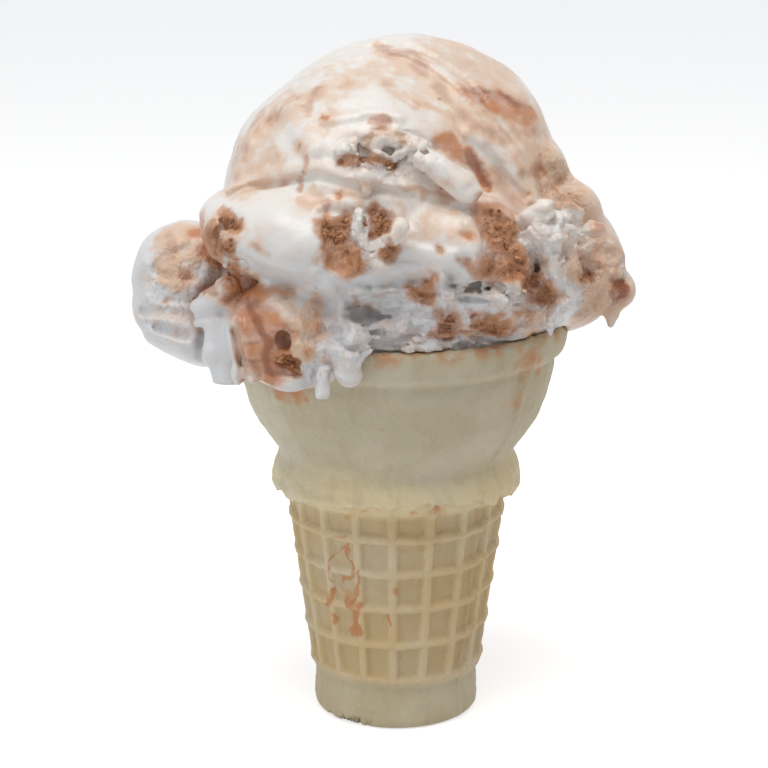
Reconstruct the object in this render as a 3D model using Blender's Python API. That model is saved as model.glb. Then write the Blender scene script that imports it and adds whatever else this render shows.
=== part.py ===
"""Ice cream cone: a flat-bottomed moulded wafer cone holding a heaped, torn scoop.

Units are metres, +Z is up, and the origin is the centre of the wafer's flat base.
The front of the cone faces -Y; azimuths are measured from the front towards +X.
"""

import math

import bmesh
import bpy
from mathutils import Matrix, Vector

MM = 0.001

# ---------------------------------------------------------------- wafer, driving sizes
RIM_RADIUS = 32.0 * MM
RIM_HEIGHT = 77.0 * MM
RIM_WALL = 2.6 * MM
RIM_BAND_HEIGHT = 6.0 * MM
RIM_BAND_STEP = 0.9 * MM
BASE_RADIUS = 15.6 * MM
BASE_EDGE = 1.2 * MM
BASE_BAND_TOP = 8.6 * MM
STEM_TOP = 44.2 * MM
STEM_RADIUS_LOW = 16.2 * MM
STEM_RADIUS_HIGH = 20.6 * MM
COLLAR_RADIUS = 23.3 * MM
COLLAR_HEIGHT = 47.2 * MM
NECK_RADIUS = 21.9 * MM
NECK_HEIGHT = 51.4 * MM
BOWL_SWELL = 0.55
BOWL_ROWS = 6

RIB_COUNT = 18
RIB_PHASE = math.radians(-2.0)
RIB_HALF_WIDTH = math.radians(2.9)
RIB_FLANK = math.radians(1.7)
PANEL_DEPTH = 1.0 * MM
RING_HEIGHTS = (8.9 * MM, 16.6 * MM, 24.0 * MM, 31.1 * MM, 38.0 * MM)
RING_WIDTH = 1.8 * MM
RING_BEVEL = 0.3 * MM

BOWL_COLUMNS = 36
RECESS_FLOOR = 56.0 * MM
RECESS_WALL = 2.4 * MM
RECESS_HEIGHTS = (76.2 * MM, 72.0 * MM, 66.0 * MM, 60.5 * MM, 57.2 * MM)
RECESS_CORNER = 4.0 * MM

# ---------------------------------------------------------------- ice cream, driving sizes
FIT_GAP = 0.3 * MM
VOXEL = 1.1 * MM
SMOOTH_PASSES = 3
KEPT_SHARE = 0.082

# Each heap is an ellipsoid: centre, half-lengths, and how far it tips down to the right.
HEAPS_MM = (
    ((1.5, 4.0, 97.5), (29.5, 29.0, 30.5), 0.0),      # back layer of the upper ball
    ((-4.0, -3.0, 96.5), (28.0, 28.0, 28.5), 0.0),    # white front layer of the ball
    ((2.0, 3.0, 86.0), (37.0, 34.5, 17.0), 0.0),      # skirt where the ball was pressed on
    ((0.0, 0.0, 79.0), (30.8, 30.8, 14.0), 0.0),      # torn band above the rim
    ((20.0, 0.0, 96.0), (16.0, 20.0, 12.0), 38.0),    # right shoulder
    ((-13.0, -18.5, 94.5), (22.5, 17.5, 10.0), 10.0),  # broad smooth shelf in front
    ((11.0, -20.5, 95.0), (15.0, 14.0, 9.0), 12.0),   # its right half
    ((-38.3, -5.0, 86.2), (10.2, 10.5, 9.4), -12.0),  # left lobe
    ((-37.6, -8.0, 77.2), (10.8, 10.5, 7.0), 30.0),   # fold under the left lobe
    ((-18.0, -26.5, 79.5), (12.0, 9.6, 10.0), 0.0),   # front lobe hanging over the rim
    ((33.0, -4.0, 86.5), (8.5, 9.0, 11.0), 24.0),     # right lobe
    ((18.5, -27.5, 92.0), (5.2, 5.5, 7.5), -10.0),    # crumbly lump right of the shelf
    ((27.0, -24.0, 98.0), (6.0, 4.0, 4.2), 0.0),      # top of the torn curl on the right
    ((0.0, 0.0, 70.0), (28.0, 28.0, 14.5), 0.0),      # plug pressed into the bowl
)

# Each roll is a run of balls between two points: start, end, start and end radii.
ROLLS_MM = (
    ((-31.5, -20.5, 81.5), (-28.4, -23.4, 68.6), 3.8, 3.0),   # thick drip by the left lobe
    ((-29.0, -24.0, 86.8), (-33.8, -20.0, 81.5), 2.6, 3.2),   # blob above the thick drip
    ((40.0, -6.0, 83.0), (38.8, -6.8, 77.5), 3.5, 1.2),       # bulb and drip, far right
    ((26.5, -25.0, 95.0), (29.2, -25.0, 85.4), 2.5, 2.1),     # curl hanging on the right
    ((29.0, -25.0, 85.4), (26.9, -25.3, 79.0), 2.0, 1.0),     # tip of the curl
    ((3.3, -28.5, 109.6), (11.8, -30.0, 104.6), 2.2, 2.6),    # smooth tongue in the middle
    ((-8.6, -27.2, 110.6), (4.0, -27.0, 111.4), 2.2, 2.0),    # torn ridge over the shelf
    ((-12.5, -34.6, 75.0), (-12.5, -35.0, 71.2), 1.6, 1.5),   # drip over the rim
    ((-8.4, -33.6, 78.4), (-8.6, -34.2, 74.4), 2.6, 2.5),     # lump beside the drip
    ((-22.3, -32.8, 76.5), (-22.3, -33.2, 73.6), 1.8, 1.6),   # short drip further left
)
ROLL_BALLS = 8
BALL_SUBDIVISIONS = 4


def clear_scene():
    """Remove every object that the scene holds."""
    for item in list(bpy.data.objects):
        bpy.data.objects.remove(item, do_unlink=True)


def make_material(name, colour, roughness):
    """Return a Principled material with a plain colour."""
    material = bpy.data.materials.new(name)
    material.use_nodes = True
    shader = material.node_tree.nodes["Principled BSDF"]
    shader.inputs["Base Color"].default_value = (*colour, 1.0)
    shader.inputs["Roughness"].default_value = roughness
    shader.inputs["Metallic"].default_value = 0.0
    return material


def add_object(name, mesh, material=None):
    """Link a mesh into the scene as one named object."""
    piece = bpy.data.objects.new(name, mesh)
    bpy.context.collection.objects.link(piece)
    if material is not None:
        mesh.materials.append(material)
    return piece


def finish_mesh(bm, name):
    """Turn a bmesh into a smooth-shaded mesh with crisp edges where it turns sharply."""
    mesh = bpy.data.meshes.new(name)
    bm.to_mesh(mesh)
    bm.free()
    mesh.shade_smooth()
    mesh.set_sharp_from_angle(angle=math.radians(35.0))
    return mesh


# ---------------------------------------------------------------- wafer cone


def stem_columns():
    """Return (azimuth, is_rib) for the stem: two columns on each rib, two in each panel."""
    pitch = math.tau / RIB_COUNT
    foot = RIB_HALF_WIDTH + RIB_FLANK
    columns = []
    for rib in range(RIB_COUNT):
        middle = RIB_PHASE + rib * pitch
        columns.append((middle - RIB_HALF_WIDTH, True))
        columns.append((middle + RIB_HALF_WIDTH, True))
        columns.append((middle + foot, False))
        columns.append((middle + pitch - foot, False))
    return columns


def bowl_columns():
    """Return (azimuth, is_rib) for the round parts: evenly spaced plain columns."""
    step = math.tau / BOWL_COLUMNS
    return [(RIB_PHASE + step * index, False) for index in range(BOWL_COLUMNS)]


def stem_radius(height):
    """Return the radius of the rings and ribs, which lean out as the stem rises."""
    share = (height - BASE_BAND_TOP) / (STEM_TOP - BASE_BAND_TOP)
    return STEM_RADIUS_LOW + (STEM_RADIUS_HIGH - STEM_RADIUS_LOW) * share


def stem_rows():
    """Return (height, radius, panel depth) from the flat base up to the collar's top."""
    rows = [
        (0.0, BASE_RADIUS - BASE_EDGE, 0.0),
        (0.3 * BASE_EDGE, BASE_RADIUS - 0.4 * BASE_EDGE, 0.0),
        (BASE_EDGE, BASE_RADIUS, 0.0),
        (BASE_BAND_TOP, STEM_RADIUS_LOW - PANEL_DEPTH, 0.0),
    ]
    for ring in RING_HEIGHTS:
        top = ring + RING_WIDTH
        if ring > RING_HEIGHTS[0]:
            rows.append((ring - RING_BEVEL, stem_radius(ring - RING_BEVEL), PANEL_DEPTH))
        rows.append((ring, stem_radius(ring), 0.0))
        rows.append((top, stem_radius(top), 0.0))
        rows.append((top + RING_BEVEL, stem_radius(top + RING_BEVEL), PANEL_DEPTH))
    rows.append((STEM_TOP - RING_BEVEL, stem_radius(STEM_TOP - RING_BEVEL), PANEL_DEPTH))
    rows.append((STEM_TOP, STEM_RADIUS_HIGH, 0.0))
    rows.append((0.5 * (STEM_TOP + COLLAR_HEIGHT), COLLAR_RADIUS - 0.8 * MM, 0.0))
    return rows


def bowl_radius(height):
    """Return the bowl's outer radius: a quick swell above the neck that flattens upwards."""
    crease = RIM_HEIGHT - RIM_BAND_HEIGHT
    share = (height - NECK_HEIGHT) / (crease - NECK_HEIGHT)
    top = RIM_RADIUS - RIM_BAND_STEP - 1.1 * MM
    return NECK_RADIUS + (top - NECK_RADIUS) * max(share, 0.0) ** BOWL_SWELL


def round_rows():
    """Return (height, radius, 0) from the collar over the rim and down into the bowl."""
    crease = RIM_HEIGHT - RIM_BAND_HEIGHT
    rows = [
        (COLLAR_HEIGHT, COLLAR_RADIUS, 0.0),
        (COLLAR_HEIGHT + 2.2 * MM, COLLAR_RADIUS - 0.5 * MM, 0.0),
        (NECK_HEIGHT - 0.8 * MM, NECK_RADIUS + 0.1 * MM, 0.0),
    ]
    for index in range(BOWL_ROWS + 1):
        share = (index / BOWL_ROWS) ** 1.5
        height = NECK_HEIGHT + (crease - NECK_HEIGHT) * share
        rows.append((height, bowl_radius(height), 0.0))
    rows += [
        (crease + 0.6 * MM, RIM_RADIUS - RIM_BAND_STEP, 0.0),
        (crease + 2.2 * MM, RIM_RADIUS - 0.3 * MM, 0.0),
        (RIM_HEIGHT - 0.6 * MM, RIM_RADIUS, 0.0),
        (RIM_HEIGHT, RIM_RADIUS - 0.5 * MM, 0.0),
        (RIM_HEIGHT, RIM_RADIUS - RIM_WALL + 0.3 * MM, 0.0),
    ]
    rows += recess_rows()
    return rows


def recess_rows():
    """Return the rows of the bowl's inside, from just under the rim to its floor."""
    rows = []
    for height in RECESS_HEIGHTS:
        rows.append((height, bowl_radius(min(height, 70.0 * MM)) - RECESS_WALL, 0.0))
    rows.append((RECESS_FLOOR, bowl_radius(RECESS_HEIGHTS[-1]) - RECESS_WALL - RECESS_CORNER, 0.0))
    return rows


def ring_of_vertices(bm, row, columns):
    """Add one closed ring of vertices; a panel's columns sit deeper than a rib's."""
    height, radius, depth = row
    ring = []
    for azimuth, is_rib in columns:
        reach = radius if is_rib else radius - depth
        place = Vector((reach * math.sin(azimuth), -reach * math.cos(azimuth), height))
        ring.append((azimuth, bm.verts.new(place)))
    return ring


def stitch(bm, lower, upper):
    """Join two rings of equal length with quads, and others with triangles."""
    count = len(lower)
    if count == len(upper):
        for index in range(count):
            after = (index + 1) % count
            corners = (lower[index][1], lower[after][1], upper[after][1], upper[index][1])
            bm.faces.new(corners)
        return
    below = lower + [(lower[0][0] + math.tau, lower[0][1])]
    above = upper + [(upper[0][0] + math.tau, upper[0][1])]
    low = 0
    high = 0
    while low < count or high < len(upper):
        step_below = high == len(upper)
        if low < count and not step_below:
            step_below = below[low + 1][0] < above[high + 1][0]
        if step_below:
            bm.faces.new((below[low][1], below[low + 1][1], above[high][1]))
            low += 1
        else:
            bm.faces.new((below[low][1], above[high + 1][1], above[high][1]))
            high += 1


def build_wafer(material):
    """Build the wafer cone: solid ribbed stem, collar, and a cup-shaped bowl with a rim."""
    bm = bmesh.new()
    rings = [ring_of_vertices(bm, row, stem_columns()) for row in stem_rows()]
    rings += [ring_of_vertices(bm, row, bowl_columns()) for row in round_rows()]
    for lower, upper in zip(rings, rings[1:]):
        stitch(bm, lower, upper)
    bm.faces.new([vertex for _, vertex in reversed(rings[0])])
    bm.faces.new([vertex for _, vertex in rings[-1]])
    bmesh.ops.recalc_face_normals(bm, faces=bm.faces)
    return add_object("wafer_cone", finish_mesh(bm, "wafer_cone"), material)


# ---------------------------------------------------------------- ice cream


def add_heap(bm, centre, radii, tip_degrees):
    """Add one ellipsoid, tipped about the front-to-back axis."""
    turn = Matrix.Rotation(math.radians(tip_degrees), 4, "Y")
    size = Matrix.Diagonal((*[radius * MM for radius in radii], 1.0))
    place = Matrix.Translation(Vector(centre) * MM)
    bmesh.ops.create_icosphere(
        bm, subdivisions=BALL_SUBDIVISIONS, radius=1.0, matrix=place @ turn @ size
    )


def add_roll(bm, start, end, start_radius, end_radius):
    """Add a tapering roll as a run of overlapping balls."""
    for index in range(ROLL_BALLS):
        share = index / (ROLL_BALLS - 1)
        centre = Vector(start).lerp(Vector(end), share)
        radius = start_radius + (end_radius - start_radius) * share
        add_heap(bm, centre, (radius, radius, radius), 0.0)


def build_wafer_clearance():
    """Build the hidden cutter: the wafer's round outline, larger by the fit gap."""
    bm = bmesh.new()
    inside = recess_rows()
    outside = round_rows()[: -len(inside)]
    rim_top = outside[-2:]
    grown = [(outside[0][0] - FIT_GAP, outside[0][1] + FIT_GAP, 0.0)]
    grown += [(height - FIT_GAP, radius + FIT_GAP, 0.0) for height, radius, _ in outside[1:-2]]
    grown.append((RIM_HEIGHT - FIT_GAP, outside[-3][1] + FIT_GAP, 0.0))
    grown.append((RIM_HEIGHT + FIT_GAP, rim_top[0][1] + FIT_GAP, 0.0))
    grown.append((RIM_HEIGHT + FIT_GAP, rim_top[1][1] - FIT_GAP, 0.0))
    grown += [(height + FIT_GAP, radius - FIT_GAP, 0.0) for height, radius, _ in inside]
    rings = [ring_of_vertices(bm, row, bowl_columns()) for row in grown]
    for lower, upper in zip(rings, rings[1:]):
        stitch(bm, lower, upper)
    bm.faces.new([vertex for _, vertex in reversed(rings[0])])
    bm.faces.new([vertex for _, vertex in rings[-1]])
    bmesh.ops.recalc_face_normals(bm, faces=bm.faces)
    cutter = add_object("wafer_clearance", finish_mesh(bm, "wafer_clearance"))
    cutter.hide_render = True
    cutter.display_type = "WIRE"
    return cutter


def build_ice_cream(material):
    """Build the scoop: heaps and rolls melted into one body, cut clear of the wafer."""
    bm = bmesh.new()
    for centre, radii, tip in HEAPS_MM:
        add_heap(bm, centre, radii, tip)
    for start, end, start_radius, end_radius in ROLLS_MM:
        add_roll(bm, start, end, start_radius, end_radius)
    scoop = add_object("ice_cream", finish_mesh(bm, "ice_cream"), material)

    melt = scoop.modifiers.new("melt_together", "REMESH")
    melt.mode = "VOXEL"
    melt.voxel_size = VOXEL
    melt.use_smooth_shade = True
    soften = scoop.modifiers.new("soften", "SMOOTH")
    soften.factor = 0.5
    soften.iterations = SMOOTH_PASSES
    thin = scoop.modifiers.new("fewer_faces", "DECIMATE")
    thin.decimate_type = "COLLAPSE"
    thin.ratio = KEPT_SHARE
    thin.use_collapse_triangulate = True
    fit = scoop.modifiers.new("clear_of_wafer", "BOOLEAN")
    fit.operation = "DIFFERENCE"
    fit.solver = "EXACT"
    fit.object = build_wafer_clearance()
    return scoop


def main():
    """Build the two pieces of the cone."""
    clear_scene()
    build_wafer(make_material("wafer", (0.62, 0.50, 0.30), 0.65))
    build_ice_cream(make_material("ice_cream", (0.82, 0.74, 0.66), 0.35))


main()
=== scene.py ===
"""Ice cream cone: the finished look of a heaped, torn scoop in a moulded wafer cone.

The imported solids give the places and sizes. The wafer is turned and then ribbed by a
geometry-node tree; the ice cream is modelled as a melted-together body of heaps, rolls
and torn patches; loose crumbs lie over it where it is crumbly.

Shapes are worked out in millimetres from the centre of the wafer's foot, with +X to the
right, +Y to the back and +Z up, and are turned into metres when the meshes are made.
"""

import logging
import math
from dataclasses import dataclass, field

import bpy
import numpy as np
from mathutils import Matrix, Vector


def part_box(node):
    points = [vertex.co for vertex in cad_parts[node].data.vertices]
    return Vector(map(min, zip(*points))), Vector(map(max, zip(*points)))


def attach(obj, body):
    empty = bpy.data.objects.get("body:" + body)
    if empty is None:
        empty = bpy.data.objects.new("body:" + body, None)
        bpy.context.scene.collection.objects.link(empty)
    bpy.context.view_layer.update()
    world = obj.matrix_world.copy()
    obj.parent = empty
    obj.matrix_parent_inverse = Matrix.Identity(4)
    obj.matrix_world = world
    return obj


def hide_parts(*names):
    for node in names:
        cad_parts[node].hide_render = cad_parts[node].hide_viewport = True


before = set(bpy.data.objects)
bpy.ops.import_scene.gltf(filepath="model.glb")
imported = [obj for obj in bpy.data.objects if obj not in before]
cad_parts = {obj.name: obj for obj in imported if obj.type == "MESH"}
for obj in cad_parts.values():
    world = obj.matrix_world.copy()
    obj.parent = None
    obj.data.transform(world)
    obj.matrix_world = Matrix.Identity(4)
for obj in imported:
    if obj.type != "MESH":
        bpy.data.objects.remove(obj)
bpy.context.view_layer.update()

import openvdb
from mathutils import Vector

MM = 0.001
LOG = logging.getLogger("ice_cream_cone")

Point = tuple[float, float, float]
Colour = tuple[float, float, float]


# ------------------------------------------------------------------ shared tools


def linear(red: int, green: int, blue: int) -> Colour:
    """Return a screen colour (0 to 255 a channel) as linear light."""
    channels = []
    for value in (red / 255.0, green / 255.0, blue / 255.0):
        low = value <= 0.04045
        channels.append(value / 12.92 if low else ((value + 0.055) / 1.055) ** 2.4)
    return (channels[0], channels[1], channels[2])


def smooth_step(low: float, high: float, value: np.ndarray) -> np.ndarray:
    """Return 0 below low, 1 above high, and an eased ramp between them."""
    share = np.clip((value - low) / (high - low), 0.0, 1.0)
    return share * share * (3.0 - 2.0 * share)


def melt(first: np.ndarray, second: np.ndarray, reach: float) -> np.ndarray:
    """Join two distance fields with a soft fillet.

    Args:
        first: Distances to one shape, in millimetres, negative inside.
        second: Distances to the other shape.
        reach: How far the fillet spreads.

    Returns:
        Distances to the joined shape.
    """
    share = np.clip(0.5 + 0.5 * (second - first) / reach, 0.0, 1.0)
    return second + (first - second) * share - reach * share * (1.0 - share)


def new_piece(name: str, mesh: bpy.types.Mesh) -> bpy.types.Object:
    """Link a mesh into the scene as an object at the origin."""
    piece = bpy.data.objects.new(name, mesh)
    bpy.context.collection.objects.link(piece)
    return piece


def apply_modifiers(piece: bpy.types.Object) -> None:
    """Replace a piece's mesh by its evaluated one and drop its modifiers."""
    graph = bpy.context.evaluated_depsgraph_get()
    graph.update()
    finished = bpy.data.meshes.new_from_object(piece.evaluated_get(graph), depsgraph=graph)
    finished.name = piece.name
    piece.modifiers.clear()
    piece.data = finished


def set_inputs(modifier: bpy.types.NodesModifier, values: dict[str, float]) -> None:
    """Set the named inputs of a geometry-node modifier."""
    for item in modifier.node_group.interface.items_tree:
        if item.in_out == "INPUT" and item.name in values:
            modifier[item.identifier] = values[item.name]


class Graph:
    """A node tree that is written as sums: each call adds one node and returns its result."""

    def __init__(self, tree: bpy.types.NodeTree) -> None:
        """Wrap a shader or geometry node tree."""
        self.tree = tree

    def node(self, kind: str, inputs: dict | None = None, **settings: object) -> bpy.types.Node:
        """Add a node.

        Args:
            kind: Blender's name for the node.
            inputs: Values or sockets for its inputs, by name or number.
            **settings: Properties to set before the inputs.

        Returns:
            The new node.
        """
        node = self.tree.nodes.new(kind)
        for key, value in settings.items():
            setattr(node, key, value)
        for key, value in (inputs or {}).items():
            if isinstance(value, bpy.types.NodeSocket):
                self.tree.links.new(value, node.inputs[key])
            else:
                node.inputs[key].default_value = value
        return node

    def math(self, operation: str, *values: object) -> bpy.types.NodeSocket:
        """Return the result of one sum."""
        inputs = dict(enumerate(values))
        return self.node("ShaderNodeMath", inputs, operation=operation).outputs[0]

    def plus(self, first: object, *others: object) -> bpy.types.NodeSocket:
        """Return several values added up."""
        total = first
        for value in others:
            total = self.math("ADD", total, value)
        return total

    def less(self, first: object, second: object) -> bpy.types.NodeSocket:
        """Return the first value less the second."""
        return self.math("SUBTRACT", first, second)

    def times(self, first: object, *others: object) -> bpy.types.NodeSocket:
        """Return several values multiplied together."""
        product = first
        for value in others:
            product = self.math("MULTIPLY", product, value)
        return product

    def ease(self, value: object, low: float, high: float) -> bpy.types.NodeSocket:
        """Return 0 at low and 1 at high, eased between them."""
        inputs = {"Value": value, "From Min": low, "From Max": high}
        node = self.node("ShaderNodeMapRange", inputs, interpolation_type="SMOOTHSTEP")
        return node.outputs["Result"]

    def noise(self, place: object, scale: float, detail: float = 2.0) -> bpy.types.NodeSocket:
        """Return cloudy noise from about 0 to 1."""
        inputs = {"Vector": place, "Scale": scale, "Detail": detail}
        node = self.node("ShaderNodeTexNoise", inputs)
        return node.outputs[0]

    def mix(self, share: object, first: object, second: object) -> bpy.types.NodeSocket:
        """Return a blend of two colours."""
        node = self.node("ShaderNodeMix", data_type="RGBA")
        for index, value in ((0, share), (6, first), (7, second)):
            if isinstance(value, bpy.types.NodeSocket):
                self.tree.links.new(value, node.inputs[index])
            else:
                node.inputs[index].default_value = value if index == 0 else (*value, 1.0)
        return node.outputs[2]

    def attribute(self, name: str) -> bpy.types.NodeSocket:
        """Return a number stored on the points of the mesh."""
        return self.node("ShaderNodeAttribute", attribute_name=name).outputs["Fac"]


def store(mesh: bpy.types.Mesh, name: str, values: np.ndarray) -> None:
    """Store one number for each point of a mesh."""
    layer = mesh.attributes.new(name, "FLOAT", "POINT")
    layer.data.foreach_set("value", np.ascontiguousarray(values, np.float32))


def mesh_points(mesh: bpy.types.Mesh, foot: Vector) -> np.ndarray:
    """Return a mesh's points in millimetres from the foot."""
    places = np.empty(3 * len(mesh.vertices), np.float32)
    mesh.vertices.foreach_get("co", places)
    return ((places.reshape(-1, 3) - np.array(foot, np.float32)) / MM).astype(np.float32)


class LumpNoise:
    """Smooth random lumps that are the same on every run."""

    SIZE = 32

    def __init__(self, seed: int) -> None:
        """Draw the lattice of random heights for a seed."""
        shape = (self.SIZE, self.SIZE, self.SIZE)
        self.heights = np.random.default_rng(seed).uniform(-1.0, 1.0, shape).astype(np.float32)

    def at(self, points: np.ndarray, size: float) -> np.ndarray:
        """Return lump heights from -1 to 1.

        Args:
            points: Places, in millimetres, one a row.
            size: Width of a lump, in millimetres.

        Returns:
            One height for each place.
        """
        scaled = points / np.float32(size)
        cell = np.floor(scaled).astype(np.int32)
        part = scaled - cell
        part = part * part * (3.0 - 2.0 * part)
        low = cell % self.SIZE
        high = (cell + 1) % self.SIZE
        total = np.zeros(len(points), np.float32)
        for corner in range(8):
            pick = [(corner >> axis) & 1 for axis in range(3)]
            weight = np.ones(len(points), np.float32)
            index = []
            for axis in range(3):
                index.append(high[:, axis] if pick[axis] else low[:, axis])
                weight = weight * (part[:, axis] if pick[axis] else 1.0 - part[:, axis])
            total += weight * self.heights[index[0], index[1], index[2]]
        return total

    def layered(self, points: np.ndarray, size: float, layers: int) -> np.ndarray:
        """Return the sum of ever finer lumps, each layer half as wide and high."""
        total = np.zeros(len(points), np.float32)
        height = 1.0
        for layer in range(layers):
            shifted = points + np.float32(17.3 * layer)
            total += height * self.at(shifted, size / 2.0**layer)
            height *= 0.5
        return total


class CurdNoise:
    """Random rounded grains packed side by side, as in torn frozen cream."""

    SIZE = 24

    def __init__(self, seed: int) -> None:
        """Draw one grain centre for each cell of the lattice."""
        shape = (self.SIZE, self.SIZE, self.SIZE, 3)
        rng = np.random.default_rng(seed)
        self.offsets = rng.uniform(0.15, 0.85, shape).astype(np.float32)

    def at(self, points: np.ndarray, size: float) -> np.ndarray:
        """Return 1 at the middle of a grain, falling to about 0 between grains.

        Args:
            points: Places, in millimetres, one a row.
            size: Width of a grain, in millimetres.

        Returns:
            One value for each place.
        """
        scaled = points / np.float32(size)
        cell = np.floor(scaled).astype(np.int32)
        part = scaled - cell
        nearest = np.full(len(points), 9.0, np.float32)
        for step in np.ndindex(3, 3, 3):
            move = np.array(step, np.int32) - 1
            index = (cell + move) % self.SIZE
            centre = self.offsets[index[:, 0], index[:, 1], index[:, 2]] + move
            gap = part - centre
            nearest = np.minimum(nearest, np.einsum("ij,ij->i", gap, gap))
        return 1.0 - np.sqrt(nearest)


# ------------------------------------------------------------------ shapes of ice cream


@dataclass(frozen=True)
class Heap:
    """An ellipsoid of ice cream, in millimetres and degrees.

    Attributes:
        centre: Its middle.
        radii: Its half-lengths along its own axes.
        tip: How far it leans over to the right, about the front-to-back axis.
        reach: Width of the fillet that joins it to what is there already.
    """

    centre: Point
    radii: Point
    tip: float = 0.0
    reach: float = 1.5

    def box(self) -> tuple[np.ndarray, np.ndarray]:
        """Return the lowest and highest corners that it can reach."""
        most = max(self.radii) if self.tip else 0.0
        size = np.maximum(np.array(self.radii), most)
        return np.array(self.centre) - size, np.array(self.centre) + size

    def distance(self, points: np.ndarray) -> np.ndarray:
        """Return how far each point lies outside, negative inside."""
        offset = points - np.array(self.centre, np.float32)
        if self.tip:
            cosine, sine = math.cos(math.radians(self.tip)), math.sin(math.radians(self.tip))
            across = offset[:, 0] * cosine - offset[:, 2] * sine
            up = offset[:, 0] * sine + offset[:, 2] * cosine
            offset = np.stack([across, offset[:, 1], up], 1)
        radii = np.array(self.radii, np.float32)
        near = np.linalg.norm(offset / radii, axis=1)
        steep = np.linalg.norm(offset / radii**2, axis=1)
        return near * (near - 1.0) / np.maximum(steep, 1e-6)


@dataclass(frozen=True)
class Roll:
    """A tapering roll through several points, in millimetres.

    Attributes:
        path: The points that its middle passes through.
        radii: Its radius at each of those points.
        reach: Width of the fillet that joins it to what is there already.
    """

    path: tuple[Point, ...]
    radii: tuple[float, ...]
    reach: float = 1.0

    def box(self) -> tuple[np.ndarray, np.ndarray]:
        """Return the lowest and highest corners that it can reach."""
        path = np.array(self.path)
        return path.min(axis=0) - max(self.radii), path.max(axis=0) + max(self.radii)

    def distance(self, points: np.ndarray) -> np.ndarray:
        """Return how far each point lies outside, negative inside."""
        nearest = np.full(len(points), 1e3, np.float32)
        for index in range(len(self.path) - 1):
            start = np.array(self.path[index], np.float32)
            along = np.array(self.path[index + 1], np.float32) - start
            offset = points - start
            share = np.clip(offset @ along / (along @ along), 0.0, 1.0)
            radius = self.radii[index] + (self.radii[index + 1] - self.radii[index]) * share
            gap = np.linalg.norm(offset - share[:, None] * along, axis=1) - radius
            nearest = np.minimum(nearest, gap)
        return nearest


@dataclass(frozen=True)
class TornPatch:
    """A part of the surface that is torn into curds, in millimetres.

    Attributes:
        centre: Its middle.
        radii: Its half-lengths; the tearing fades out towards them.
        depth: How far the surface is broken up.
        grain: Width of its curds.
        layered: How much flatter than wide the curds are.
    """

    centre: Point
    radii: Point
    depth: float
    grain: float
    layered: float = 1.0

    def share(self, points: np.ndarray) -> np.ndarray:
        """Return how torn each point is, from 0 to 1."""
        offset = (points - np.array(self.centre, np.float32)) / np.array(self.radii, np.float32)
        return smooth_step(1.0, 0.62, np.linalg.norm(offset, axis=1))


# The eye sees the front from a little above: a point's place there is its distance across
# and its height up a plane that leans back by this angle.
FRONT_LEAN = math.radians(17.0)


def front_view(points: np.ndarray) -> np.ndarray:
    """Return each point's place on the leaning front plane, in millimetres."""
    up = points[:, 2] * math.cos(FRONT_LEAN) + points[:, 1] * math.sin(FRONT_LEAN)
    return np.stack([points[:, 0], up], 1).astype(np.float32)


def in_front(points: np.ndarray) -> np.ndarray:
    """Return 1 on the front of the scoop, fading to 0 on its back."""
    return smooth_step(14.0, 4.0, points[:, 1])


@dataclass(frozen=True)
class Stroke:
    """A soft-edged line on the leaning front plane, in millimetres.

    Attributes:
        path: (across, up) points; one point makes a round dab.
        width: Half-width of the line.
        strength: How strong it is at its middle; for relief, its height.
    """

    path: tuple[tuple[float, float], ...]
    width: float
    strength: float = 1.0

    def cover(self, places: np.ndarray) -> np.ndarray:
        """Return the stroke's strength at each place on the front plane."""
        result = np.zeros(len(places), np.float32)
        path = np.array(self.path, np.float32)
        low = path.min(axis=0) - 1.6 * self.width
        high = path.max(axis=0) + 1.6 * self.width
        near = np.all((places > low) & (places < high), axis=1)
        if not near.any():
            return result
        nearest = np.full(int(near.sum()), 1e3, np.float32)
        if len(path) == 1:
            nearest = np.linalg.norm(places[near] - path[0], axis=1)
        for start, end in zip(path, path[1:]):
            along = end - start
            offset = places[near] - start
            share = np.clip(offset @ along / (along @ along), 0.0, 1.0)
            gap = np.linalg.norm(offset - share[:, None] * along, axis=1)
            nearest = np.minimum(nearest, gap)
        result[near] = self.strength * smooth_step(1.5 * self.width, 0.3 * self.width, nearest)
        return result


BIG_FORMS = (
    Heap((1.5, 4.0, 97.5), (29.5, 29.0, 30.5), reach=0.5),
    Heap((-4.0, -3.0, 96.5), (28.0, 28.0, 28.5), reach=1.2),
    Heap((2.0, 3.0, 86.0), (37.0, 34.5, 17.0), reach=3.0),
    Heap((0.0, 0.0, 79.0), (30.3, 30.3, 14.0), reach=1.2),
    Heap((20.0, 0.0, 96.0), (16.0, 20.0, 12.0), tip=38.0, reach=4.0),
    Heap((-13.0, -18.5, 94.5), (22.5, 17.5, 10.0), tip=10.0, reach=1.2),
    Heap((11.0, -20.5, 95.0), (15.0, 14.0, 9.0), tip=12.0, reach=1.5),
    Heap((-38.3, -5.0, 86.2), (10.2, 10.5, 9.4), tip=-12.0, reach=2.0),
    Heap((-37.6, -8.0, 77.2), (10.8, 10.5, 7.0), tip=30.0, reach=2.0),
    Heap((-18.0, -26.5, 79.5), (12.0, 9.6, 10.0), reach=1.2),
    Heap((33.0, -4.0, 86.5), (8.5, 9.0, 11.0), tip=24.0, reach=3.0),
    Heap((18.5, -27.5, 92.0), (5.2, 5.5, 7.5), tip=-10.0, reach=1.5),
    Heap((0.0, 0.0, 70.0), (28.0, 28.0, 14.5), reach=1.0),
)

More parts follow.
